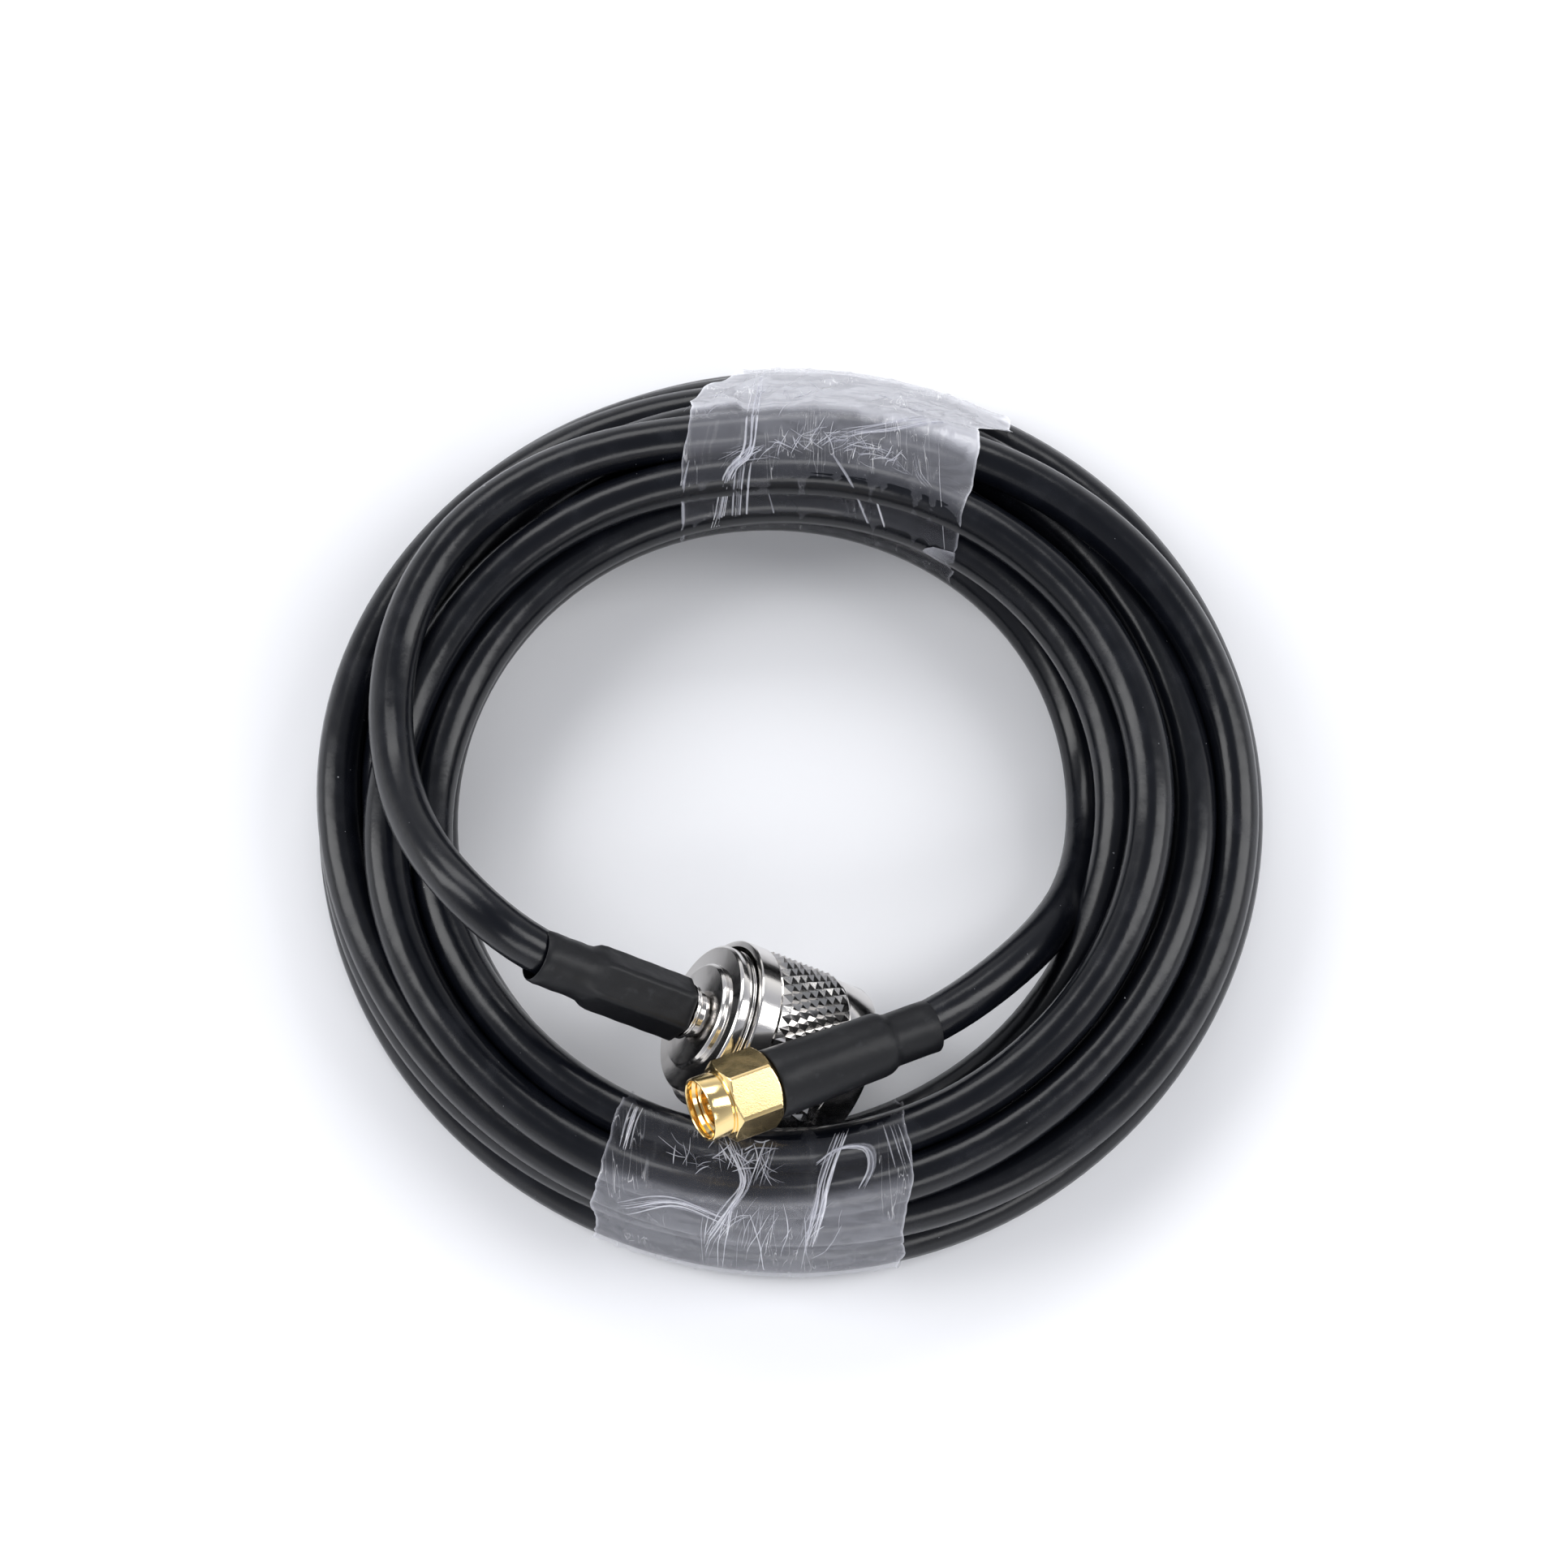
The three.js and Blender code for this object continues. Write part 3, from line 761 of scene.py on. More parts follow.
@dataclass
class LeadCable:
    """The whole cable as one line from the N plug, round the pile, to the SMA plug.

    The free stretches' points repeat the part's own, in mm.
    """

    diameter: float = 5.0
    length: float = 2.78
    pile: Pile = field(default_factory=Pile)
    n_points: tuple[tuple[float, float, float], ...] = (
        (-31.4, -21.9, 31.0), (-35.0, -18.4, 30.8), (-38.4, -14.0, 28.7), (-41.3, -8.7, 25.4),
        (-43.2, -3.0, 22.6), (-44.2, 3.0, 21.1), (-44.4, 9.4, 20.8), (-42.5, 18.1, 20.8),
        (-38.2, 26.0, 20.8), (-31.6, 31.9, 20.8), (-24.0, 35.9, 20.8), (-17.5, 37.6, 20.8),
        (-12.9, 38.3, 20.8),
    )
    sma_points: tuple[tuple[float, float, float], ...] = (
        (34.4, 0.0, 3.6), (34.3, -3.4, 4.9), (33.6, -7.5, 7.0), (32.0, -12.7, 10.2),
        (29.3, -17.2, 13.2), (25.2, -22.0, 16.2),
    )
    n_grip: tuple[float, ...] = (-15.2, -18.4, -21.4, -23.9)
    sma_grip: tuple[float, ...] = (-19.3, -23.9, -26.9, -29.4)
    first: float = 97.5
    last: float = 7.5 - 360.0 * 9
    guard_end: float = 200.0

    def route(self) -> np.ndarray:
        """Works out the cable's centreline.

        Returns:
            The line's points in mm, one a row.
        """
        n_end = [tuple(N_FRAME.on_axis(along)) for along in self.n_grip]
        sma_end = [tuple(SMA_FRAME.on_axis(along)) for along in reversed(self.sma_grip)]
        lead_in = np.array([*n_end, *self.n_points])
        lead_out = np.array([*self.sma_points, *sma_end])
        bearings, spots = self.pile.rows(self.first, self.last)
        self.spots = self.pile.settle(bearings, spots, self.guards(lead_in))
        self.bearings = bearings
        turns = np.radians(bearings)
        wound = np.stack([self.spots[:, 0] * np.cos(turns), self.spots[:, 0] * np.sin(turns),
                          self.spots[:, 1]], axis=1)
        return self.even(catmull(np.vstack([lead_in, wound, lead_out]), 4))

    @staticmethod
    def even(line: np.ndarray, spacing: float = 2.0, passes: int = 14) -> np.ndarray:
        """Spaces a line's points evenly and eases its bends.

        Args:
            line: The line's points.
            spacing: The new spacing.
            passes: How often the bends are eased.

        Returns:
            The even line.
        """
        along = np.concatenate([[0], np.cumsum(np.linalg.norm(np.diff(line, axis=0), axis=1))])
        marks = np.linspace(0, along[-1], int(along[-1] / spacing))
        points = np.stack([np.interp(marks, along, line[:, axis]) for axis in range(3)], axis=1)
        for _ in range(passes):
            points[1:-1] += ((points[:-2] + points[2:]) / 2 - points[1:-1]) * 0.5
        return points

    def guards(self, stretch: np.ndarray) -> dict[int, list]:
        """Finds where a free stretch passes the pile's planes.

        Args:
            stretch: The stretch's points.

        Returns:
            Its radius and height in each plane that it passes, by the plane's number.
        """
        line = catmull(stretch, SEARCH)
        bearings = np.degrees(np.arctan2(line[:, 1], line[:, 0])) % 360
        found = {}
        for plane in range(int(self.first / self.pile.step) + 1, int(self.guard_end / self.pile.step)):
            nearest = int(np.argmin(abs(bearings - plane * self.pile.step)))
            if abs(bearings[nearest] - plane * self.pile.step) < self.pile.step / 2:
                x, y, z = line[nearest]
                found[plane] = [(math.hypot(x, y), z)]
        return found

    def build(self, look: bpy.types.Material, plug: list[bpy.types.Object]) -> bpy.types.Object:
        """Args:
            look: The jacket's material.
            plug: The pieces of the plug at its far end; not used.

        Returns:
            The cable.
        """
        line = self.route()
        curve = bpy.data.curves.new("lead_cable", "CURVE")
        curve.dimensions = "3D"
        curve.bevel_depth = self.diameter / 2 * MM
        curve.bevel_resolution = 6
        curve.use_fill_caps = True
        spline = curve.splines.new("POLY")
        spline.points.add(len(line) - 1)
        for point, spot in zip(spline.points, line):
            point.co = (*(spot * MM), 1.0)
        spline.use_smooth = True
        curve.materials.append(look)
        piece = add("lead_cable", curve)
        length = float(np.linalg.norm(np.diff(line, axis=0), axis=1).sum()) * MM
        log.info("cable centreline %.3f m", length)
        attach(piece, ROOT)
        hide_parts("coil", "n_cable_tail", "sma_cable_tail")
        tuple(line[0] * MM)
        return piece

    def section(self, bearing: float) -> np.ndarray:
        """Returns the turns' radii and heights at one bearing.

        Args:
            bearing: The bearing, in degrees.
        """
        found = []
        for turn in range(len(self.pile.turns)):
            at = bearing - 360.0 * turn
            if self.bearings[-1] <= at <= self.bearings[0]:
                found.append([np.interp(-at, -self.bearings, self.spots[:, column])
                              for column in (0, 1)])
        if bearing > self.first:
            line = catmull(np.array(self.n_points), SEARCH)
            turns = np.degrees(np.arctan2(line[:, 1], line[:, 0]))
            nearest = line[int(np.argmin(abs(turns - bearing)))]
            found.append([math.hypot(nearest[0], nearest[1]), nearest[2]])
        return np.array(found)


# Film


@dataclass(frozen=True)
class Fold:
    """Creases that stand up from a film along a line of (x, radius) places in mm.

    With a reach they are short strokes across the line instead, each about that long.
    """

    line: tuple[tuple[float, float], ...]
    count: int = 3
    spread: float = 0.3
    width: float = 0.25
    reach: float = 0.0
    lean: float = 80.0
    scatter: float = 25.0


@dataclass
class FilmWrap:
    """A sleeve of clear film drawn tight round the pile, with cut edges, haze, painted reflection and
    creases.

    The cuts and the hazes_and_reflections are tables over the radius: the x of each edge in mm, and
    the film's faint haze plus a painted reflection of the bright surroundings, strong on the outer slope.
    Under the coil it has a haze of its own, and at its cut edges a painted highlight.
    """

    name: str
    node: str
    side: int
    left: tuple[tuple[float, float], ...]
    right: tuple[tuple[float, float], ...]
    hazes_and_reflections: tuple[tuple[float, float], ...]
    folds: tuple[Fold, ...]
    spare: tuple[float, float] = (44.0, 119.0)
    stand: float = 0.12
    columns: int = 110
    rows: int = 100
    crease_rows: int = 15
    seed: int = 3
    ridges: int = 16
    corners: int = 40
    floor_gap: float = 0.03
    under_height: float = 2.0
    under_veil: float = 0.06
    # Painted highlight along the cut edges.
    edge_highlight: float = 0.30
    edge_width: float = 0.12

    def hull(self, turns: np.ndarray, radius: float) -> np.ndarray:
        """Finds the taut line round the turns.

        Args:
            turns: The turns' radii and heights.
            radius: The cable's radius.

        Returns:
            Evenly spaced points on the line, as (radius, height), anticlockwise from the lowest.
        """
        angles = np.linspace(0, math.tau, self.corners, endpoint=False)
        circle = (radius + self.stand) * np.stack([np.cos(angles), np.sin(angles)], 1)
        cloud = np.concatenate([turn + circle for turn in turns])
        cloud[:, 1] = np.maximum(cloud[:, 1], self.floor_gap)
        order = sorted(map(tuple, cloud))
        ring = np.array(self.half(order) + self.half(list(reversed(order))))
        lowest = int(np.argmin(np.hypot(ring[:, 0] - ring[:, 0].mean(), ring[:, 1])))
        ring = np.roll(ring, -lowest, axis=0)
        ring = np.vstack([ring, ring[:1]])
        along = np.concatenate([[0], np.cumsum(np.linalg.norm(np.diff(ring, axis=0), axis=1))])
        marks = np.linspace(0, along[-1], self.rows, endpoint=False)
        return np.stack([np.interp(marks, along, ring[:, column]) for column in (0, 1)], axis=1)

    @staticmethod
    def half(points: list[tuple[float, float]]) -> list[tuple[float, float]]:
        """Returns one half of the taut line round sorted points.

        Args:
            points: The points, sorted one way or the other.
        """
        line: list[tuple[float, float]] = []
        for point in points:
            while len(line) > 1 and ((line[-1][0] - line[-2][0]) * (point[1] - line[-2][1])
                                     - (line[-1][1] - line[-2][1]) * (point[0] - line[-2][0])) <= 0:
                line.pop()
            line.append(point)
        return line[:-1]

    def survey(self, cable: LeadCable) -> None:
        """Works out the taut line at every bearing that the film may reach.

        Args:
            cable: The cable that it is wrapped round.
        """
        self.bearings = np.arange(self.spare[0], self.spare[1])
        sections = [cable.section(bearing) for bearing in self.bearings]
        self.table = np.array([self.hull(section, cable.diameter / 2) for section in sections])
        self.middle = self.table[len(self.table) // 2]

    def bearing(self, x: float, radius: float) -> float:
        """Returns the bearing, in degrees, of a place on the film's side of the coil.

        Args:
            x: Its x in mm.
            radius: Its radius in mm.
        """
        return self.side * math.degrees(math.acos(max(-1.0, min(1.0, x / radius))))

    def at(self, row: int, bearing: float) -> tuple[float, float]:
        """Returns the radius and height of one row of the film at a bearing.

        Args:
            row: The row's number.
            bearing: The bearing in degrees.
        """
        place = max(0.0, min(bearing - self.spare[0], len(self.table) - 1.001))
        first, part = int(place), place % 1
        radius, height = self.table[first, row] * (1 - part) + self.table[first + 1, row] * part
        return float(radius), float(height)

    def top(self, x: float, radius: float) -> Vector:
        """Returns the place on the film's upper side over an x and a radius, in mm.

        Args:
            x: The x in mm.
            radius: The radius in mm.
        """
        bearing = self.bearing(x, radius)
        ring = self.table[int(np.argmin(abs(self.bearings - bearing)))]
        outer, inner = int(np.argmax(ring[:, 0])), int(np.argmin(ring[:, 0]))
        upper = ring[outer:inner + 1][::-1]
        height = float(np.interp(radius, upper[:, 0], upper[:, 1]))
        turn = math.radians(bearing)
        return Vector((radius * math.cos(turn), radius * math.sin(turn), height))

    def build(self, cable: LeadCable, look: bpy.types.Material) -> bpy.types.Object:
        """Makes the film with its creases.

        Args:
            cable: The cable that it is wrapped round.
            look: The film's material.

        Returns:
            The film.
        """
        self.survey(cable)
        self.dice = np.random.default_rng(self.seed)
        mesh = bmesh.new()
        haze_reflection = mesh.verts.layers.float.new("haze_and_reflection")
        self.sleeve(mesh, haze_reflection)
        bmesh.ops.recalc_face_normals(mesh, faces=mesh.faces[:])
        creases = [self.crease(fold) for fold in self.folds for _ in range(fold.count)]
        grid, haze_reflections = ([[item for crease in creases for item in crease[part][row]]
                        for row in range(self.crease_rows)] for part in (0, 1))
        self.loft(mesh, haze_reflection, grid, haze_reflections, 3)
        piece = finish_mesh(self.name, mesh, look, ROOT, 50.0)
        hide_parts(self.node)
        return piece

    @staticmethod
    def rag(lap: float) -> float:
        """Returns how far the cut edges stray, in mm, at a share of the way round the film."""
        return (0.22 * math.sin(lap * 31) + 0.07 * math.sin(lap * 97 + 2)
                + 0.04 * math.sin(lap * 211))

    def sleeve(self, mesh: bmesh.types.BMesh, haze_reflection: bmesh.types.BMLayerItem) -> None:
        """Makes the sleeve, column by column.

        Args:
            mesh: The film's mesh.
            haze_reflection: The layer for the film's haze and its painted reflection and highlights.
        """
        ranges = ((0, 1), (-0.25, 0.25), (0.006, 0.014), (0.06, 0.22))
        ridges = [[self.dice.uniform(*limits) for limits in ranges] for _ in range(self.ridges)]
        lefts, rights = (np.interp(self.middle[:, 0], *zip(*cut))
                         for cut in (self.left, self.right))
        hazes_and_reflections = np.interp(self.middle[:, 0], *zip(*self.hazes_and_reflections))
        centre = self.middle.mean(axis=0)
        grid, haze_reflections = [], []
        for column in range(self.columns + 1):
            share = column / self.columns
            spots, haze_reflection_values = [], []
            for row in range(self.rows):
                lap = row / self.rows
                x = lefts[row] + self.rag(lap) + (rights[row] - lefts[row]) * share
                bearing = 90.0 * self.side
                for _ in range(4):
                    radius, height = self.at(row, bearing)
                    bearing = self.bearing(x, radius)
                radius, height = self.at(row, bearing)
                edge = min(share, 1 - share) * (rights[row] - lefts[row])
                lift = sum(rise * math.exp(-((share - place - lean * (lap - 0.5)) / wide) ** 2)
                           for place, lean, wide, rise in ridges)
                lift += 0.25 * math.exp(-edge / 0.7) * (1 + math.sin(lap * 60))
                away = Vector((radius - centre[0], height - centre[1])).normalized() * lift
                turn = math.radians(bearing)
                reach = radius + away.x
                spots.append(Vector((reach * math.cos(turn), reach * math.sin(turn),
                                     max(height + away.y, self.floor_gap))) * MM)
                # Faint haze under the coil. Elsewhere the table's haze with painted reflection, plus a
                # painted highlight along the cut edges.
                haze_reflection_values.append((self.under_veil if height < self.under_height else hazes_and_reflections[row])
                              + self.edge_highlight * math.exp(-edge / self.edge_width))
            grid.append(spots)
            haze_reflections.append(haze_reflection_values)
        self.loft(mesh, haze_reflection, grid, haze_reflections)

    @staticmethod
    def loft(mesh: bmesh.types.BMesh, haze_reflection: bmesh.types.BMLayerItem, grid: list[list[Vector]],
             haze_reflections: list[list[float]], strip: int = 0) -> None:
        """Extrudes the first row of places through the others.

        Args:
            mesh: The film's mesh.
            haze_reflection: The layer for the film's haze and its painted reflection, highlights and glints.
            grid: The rows of places, in metres.
            haze_reflections: Each place's haze and painted reflection, highlight and glint value.
            strip: How many places across each open strip has, or 0 where a row is one ring.
        """
        verts = [mesh.verts.new(spot) for spot in grid[0]]
        for vert, haze_reflection_value in zip(verts, haze_reflections[0]):
            vert[haze_reflection] = haze_reflection_value
        pairs = [(vert, verts[(i + 1) % len(verts)]) for i, vert in enumerate(verts)
                 if not strip or (i + 1) % strip]
        edges = [mesh.edges.new(pair) for pair in pairs]
        for spots, haze_reflection_values in zip(grid[1:], haze_reflections[1:]):
            grown = bmesh.ops.extrude_edge_only(mesh, edges=edges)["geom"]
            fresh = {item for item in grown if isinstance(item, bmesh.types.BMVert)}
            edges = [item for item in grown if isinstance(item, bmesh.types.BMEdge)
                     and all(vert in fresh for vert in item.verts)]
            verts = [next(edge.other_vert(vert) for edge in vert.link_edges
                          if edge.other_vert(vert) in fresh) for vert in verts]
            for vert, spot, haze_reflection_value in zip(verts, spots, haze_reflection_values):
                vert.co = spot
                vert[haze_reflection] = haze_reflection_value

    def crease(self, fold: Fold) -> tuple[list[list[Vector]], list[list[float]]]:
        """Works out one crease of a fold: a narrow tent that tapers to both ends.

        Args:
            fold: The fold that it belongs to.

        Returns:
            Its places row by row, in metres, and its painted white glint at each, brightest on the ridge.
        """
        dice, line = self.dice, np.array(fold.line)
        slide = dice.normal(0, fold.spread, 2)
        if fold.reach:
            share = dice.uniform(0, len(line) - 1.001)
            first, second = line[int(share)], line[int(share) + 1]
            start = first + (second - first) * (share % 1) + slide
            heading = math.radians(fold.lean + dice.normal(0, fold.scatter))
            length = fold.reach * dice.uniform(0.35, 1.3)
            step = np.array([math.cos(heading), math.sin(heading) * self.side]) * length / 2
            bend = dice.normal(0, length * 0.07, 2)
            line = np.array([start - step, start + bend, start + step])
        else:
            line = (line + slide * np.array([1.0, 0.4])
                    + dice.normal(0, fold.spread * 0.25, line.shape))
        fine = catmull(line, FINE)
        marks = np.linspace(0, len(fine) - 1, self.crease_rows)
        path = np.stack([np.interp(marks, np.arange(len(fine)), fine[:, i]) for i in (0, 1)], axis=1)
        width = fold.width * dice.uniform(0.25, 1.0) * (0.6 if fold.reach else 1.0)
        lift = dice.uniform(0.0, 0.14)
        # Strength of a painted white glint, strongest along the ridge.
        haze_reflection_value = dice.uniform(0.25, 0.95)
        inner, outer = self.middle[:, 0].min() + 0.2, self.middle[:, 0].max() - 0.15
        spots = [self.top(x, min(max(radius, inner), outer)) for x, radius in path]
        grid, haze_reflections = [], []
        for i, spot in enumerate(spots):
            ahead = spots[min(i + 1, len(spots) - 1)] - spots[max(i - 1, 0)]
            across = Vector((-ahead.y, ahead.x, 0)).normalized()
            taper = math.sqrt(max(math.sin(math.pi * (i + 0.3) / (len(spots) - 0.4)), 0.02))
            half = across * width * taper / 2
            peak = Vector((0, 0, 0.06 + (lift + width * 0.5) * taper))
            foot = spot + peak * 0.2
            grid.append([(foot - half) * MM, (spot + peak) * MM, (foot + half) * MM])
            haze_reflections.append([haze_reflection_value * 0.5, haze_reflection_value, haze_reflection_value * 0.5])
        return grid, haze_reflections


FAR_FILM = FilmWrap(
    "far_film", "far_film_wrap", 1,
    ((30.0, -12.4), (40.0, -11.2), (44.0, -11.2), (53.0, -5.0)),
    ((30.0, 18.6), (38.0, 20.6), (45.0, 21.6), (47.5, 25.6), (53.0, 25.0)),
    # Haze and painted reflection by radius: faint haze inside, painted reflection of the bright surroundings
    # on the outer slope.
    ((30.0, 0.04), (34.6, 0.05), (36.6, 0.15), (41.0, 0.20), (41.8, 0.55), (54.0, 0.62)),
    (
        Fold(((-2.9, 52.4), (-3.9, 41.0), (-4.4, 36.2), (-6.3, 34.4), (-8.2, 30.4)), 10, 0.45, 0.34),
        Fold(((-5.0, 35.0), (-5.6, 30.2)), 6, 0.45, 0.30),
        Fold(((-0.8, 36.6), (3.7, 38.0), (8.4, 37.2), (13.2, 36.8)), 95, 0.55, 0.30, 2.6, 12.0, 38.0),
        Fold(((-7.0, 35.6), (-1.0, 36.6)), 24, 0.45, 0.22, 2.4, 18.0, 30.0),
        Fold(((6.5, 38.8), (11.2, 40.4), (17.0, 43.8)), 10, 0.6, 0.26),
        Fold(((4.8, 35.9), (6.5, 33.6), (8.6, 31.2), (10.2, 29.9)), 2, 0.10, 0.38),
        Fold(((-2.2, 32.0), (-1.2, 30.2)), 1, 0.05, 0.34),
        Fold(((9.5, 33.0), (11.4, 30.4)), 1, 0.05, 0.26),
        Fold(((17.0, 41.0), (17.2, 34.9), (18.0, 30.4)), 1, 0.05, 0.16),
        Fold(((14.0, 38.0), (14.4, 36.2), (15.6, 35.2)), 3, 0.25, 0.30),
        Fold(((-11.3, 36.5), (-11.9, 33.8), (-12.0, 30.6)), 3, 0.15, 0.26),
        Fold(((-9.0, 44.0), (16.0, 47.0)), 26, 1.6, 0.24, 3.4, 70.0, 35.0),
    ))
NEAR_FILM = FilmWrap(
    "near_film", "near_film_wrap", -1,
    ((40.0, -17.2), (44.0, -18.4), (49.0, -20.2), (54.0, -21.4)),
    ((40.0, 12.2), (47.0, 13.2), (49.5, 13.2), (54.0, 12.3)),
    # Haze and painted reflection by radius: faint haze inside, painted reflection of the bright surroundings
    # on the outer slope.
    ((40.0, 0.02), (49.0, 0.04), (50.2, 0.20), (54.0, 0.26)),
    (
        Fold(((-16.3, 42.4), (-17.0, 44.6), (-17.7, 47.3)), 7, 0.28, 0.30),
        Fold(((-6.3, 43.4), (-4.6, 47.4), (-6.3, 50.6), (-8.7, 52.9)), 7, 0.6, 0.30),
        Fold(((-7.5, 44.6), (-2.0, 45.6)), 46, 0.8, 0.28, 3.0, 55.0, 55.0),
        Fold(((-2.5, 43.0), (-3.9, 47.8)), 5, 0.5, 0.28),
        Fold(((6.1, 41.6), (3.9, 47.2), (3.2, 50.3), (2.3, 52.9)), 12, 0.42, 0.34),
        Fold(((3.2, 45.6), (5.4, 44.2), (8.2, 44.6), (8.8, 46.6), (7.8, 48.6)), 6, 0.22, 0.42),
        Fold(((-17.7, 52.2), (-12.0, 51.0), (-6.8, 51.4)), 8, 0.5, 0.26),
        Fold(((-10.0, 51.8), (4.5, 51.8)), 44, 0.7, 0.26, 3.4, 62.0, 18.0),
        Fold(((-13.5, 45.6), (-9.0, 46.0)), 12, 0.7, 0.24, 2.6, 20.0, 45.0),
        Fold(((11.0, 42.6), (12.6, 47.4)), 4, 0.5, 0.20),
    ), spare=(-130.0, -68.0), seed=11)


# Plugs


@dataclass
class NPlug:
    """The N plug: a knurled nut on a turned body. Places count from the nut's rear rim, in mm."""

    nut_radius: float = 9.5
    front_radius: float = 9.2
    nut_length: float = 15.4
    rear_band: float = 3.0
    knurl_length: float = 8.7
    knurl_rows: int = 4
    knurl_round: int = 44
    knurl_depth: float = 0.55
    thread_radius: float = 7.95
    thread_pitch: float = 1.06
    thread_depth: float = 0.45
    roll: float = 14.0
    sleeve_radius: float = 3.2

    def build(self, nickel: bpy.types.Material, gold: bpy.types.Material, ptfe: bpy.types.Material,
              rubber: bpy.types.Material, shrink: bpy.types.Material) -> list[bpy.types.Object]:
        """Makes and dresses every piece of the plug.

        Args:
            nickel: The plating of the body and the nut.
            gold: The plating of the centre pin.
            ptfe: The insulator's material.
            rubber: The gasket's material.
            shrink: The sleeve's material.

        Returns:
            The pieces.
        """
        return [
            N_FRAME.piece("n_nut_knurled", "n_coupling_nut", self.nut(), nickel, Slot.NICKEL, N_NUT, 25.0),
            N_FRAME.piece("n_body_turned", "n_body", self.body(), nickel, Slot.NICKEL),
            N_FRAME.piece("n_snap_ring", "n_retaining_ring", washer(5.9, 7.6, 4.9, 5.9), nickel,
                          Slot.NICKEL),
            N_FRAME.piece("n_seal", "n_gasket", washer(5.9, 7.3, 6.2, 7.2, 0.3), rubber,
                          Slot.RUBBER),
            N_FRAME.piece("n_dielectric", "n_insulator", washer(1.1, 3.2, 7.5, 9.9), ptfe, Slot.PTFE),
            N_FRAME.piece("n_pin", "n_centre_pin", self.pin(), gold, Slot.GOLD),
            N_FRAME.piece("n_ferrule", "n_crimp_ferrule", self.ferrule(), nickel, Slot.NICKEL),
            N_FRAME.piece("n_sleeve", "n_heat_shrink", self.sleeve(), shrink, Slot.SHRINK, ROOT, 50.0),
        ]

    def nut(self) -> bmesh.types.BMesh:
        """Returns the nut, with its diamond knurl and its thread."""
        low, high = self.rear_band, self.rear_band + self.knurl_length
        rim, top = self.nut_radius, self.nut_length
        band = between((rim - 0.02, low), (rim - 0.02, high), self.knurl_rows * 2)
        rings = thread(self.thread_radius, self.thread_depth, self.thread_pitch, top - 0.8, 5.4)
        profile = [
            (8.8, 0.0), (9.3, 0.0), (9.42, 0.05), (rim, 0.2), (rim, low - 0.55), (9.44, low - 0.5),
            (9.2, low - 0.08), *band, (9.1, high + 0.06), (9.12, high + 0.2),
            (self.front_radius, high + 0.4), (self.front_radius, top - 0.4), (9.1, top - 0.12),
            (8.9, top), (8.35, top), (8.2, top - 0.12), *rings, (self.thread_radius, 4.3),
            (7.0, 4.3), (7.0, 3.1), (8.8, 3.1),
        ]
        mesh = turned(profile, self.knurl_round * 2)
        self.knurl(mesh, low, high)
        return mesh

    def knurl(self, mesh: bmesh.types.BMesh, low: float, high: float) -> None:
        """Cuts the diamond knurl: peaks and pits in turn, with a groove from each pit to the next.

        Args:
            mesh: The nut's mesh.
            low: Where the knurl starts along the axis.
            high: Where it ends.
        """
        peaks: dict[bmesh.types.BMVert, bool] = {}
        for vert in mesh.verts:
            radius, angle, along = polar(vert)
            if abs(radius - self.nut_radius + 0.02) > 0.01 or not low - 1e-4 <= along <= high + 1e-4:
                continue
            around = round(angle / math.tau * self.knurl_round * 2)
            up = round((along - low) / self.knurl_length * self.knurl_rows * 2)
            peaks[vert] = (around + up) % 2 == 0
            ends = up in (0, self.knurl_rows * 2)
            height = 0.0 if peaks[vert] and not ends else -self.knurl_depth
            widen(vert, (self.nut_radius + 0.08 + height) / radius)
        for face in mesh.faces[:]:
            pits = [vert for vert in face.verts if peaks.get(vert) is False]
            if len(face.verts) == 4 and len(pits) == 2 and all(vert in peaks for vert in face.verts):
                bmesh.utils.face_split(face, *pits)

    @staticmethod
    def body() -> bmesh.types.BMesh:
        """Returns the turned body, from its stem to the sleeve round the pin."""
        return turned(eased([
            (0.0, -13.5), (1.7, -13.5), (1.7, -3.3), (2.6, -3.3), (2.6, -2.7), (5.7, -2.7), (6.0, -2.4),
            (6.0, -1.9), (8.05, -1.9), (8.3, -1.65), (8.3, -0.55), (8.05, -0.45), (8.05, -0.15),
            (8.3, -0.05), (8.3, 2.8), (6.7, 2.8), (6.7, 4.6), (5.6, 4.6), (5.6, 7.2),
            (4.1, 7.2), (4.1, 13.0), (3.5, 13.0), (3.5, 7.2), (0.0, 7.2),
        ], 0.08), 128)

    @staticmethod
    def pin() -> bmesh.types.BMesh:
        """Returns the centre pin with its rounded tip."""
        return turned(eased([(0.0, 7.5), (0.8, 7.5), (0.8, 11.6), (0.45, 12.2), (0.27, 12.4),
                             (0.0, 12.4)], 0.1), 48)

    @staticmethod
    def ferrule() -> bmesh.types.BMesh:
        """Returns the crimp ferrule, with the double lip that shows behind the body."""
        return turned(eased([
            (2.0, -14.6), (2.5, -14.6), (2.5, -4.1), (3.1, -4.1), (3.15, -3.95), (2.95, -3.85),
            (3.1, -3.75), (3.1, -3.6), (2.0, -3.6),
        ], 0.06), 96)

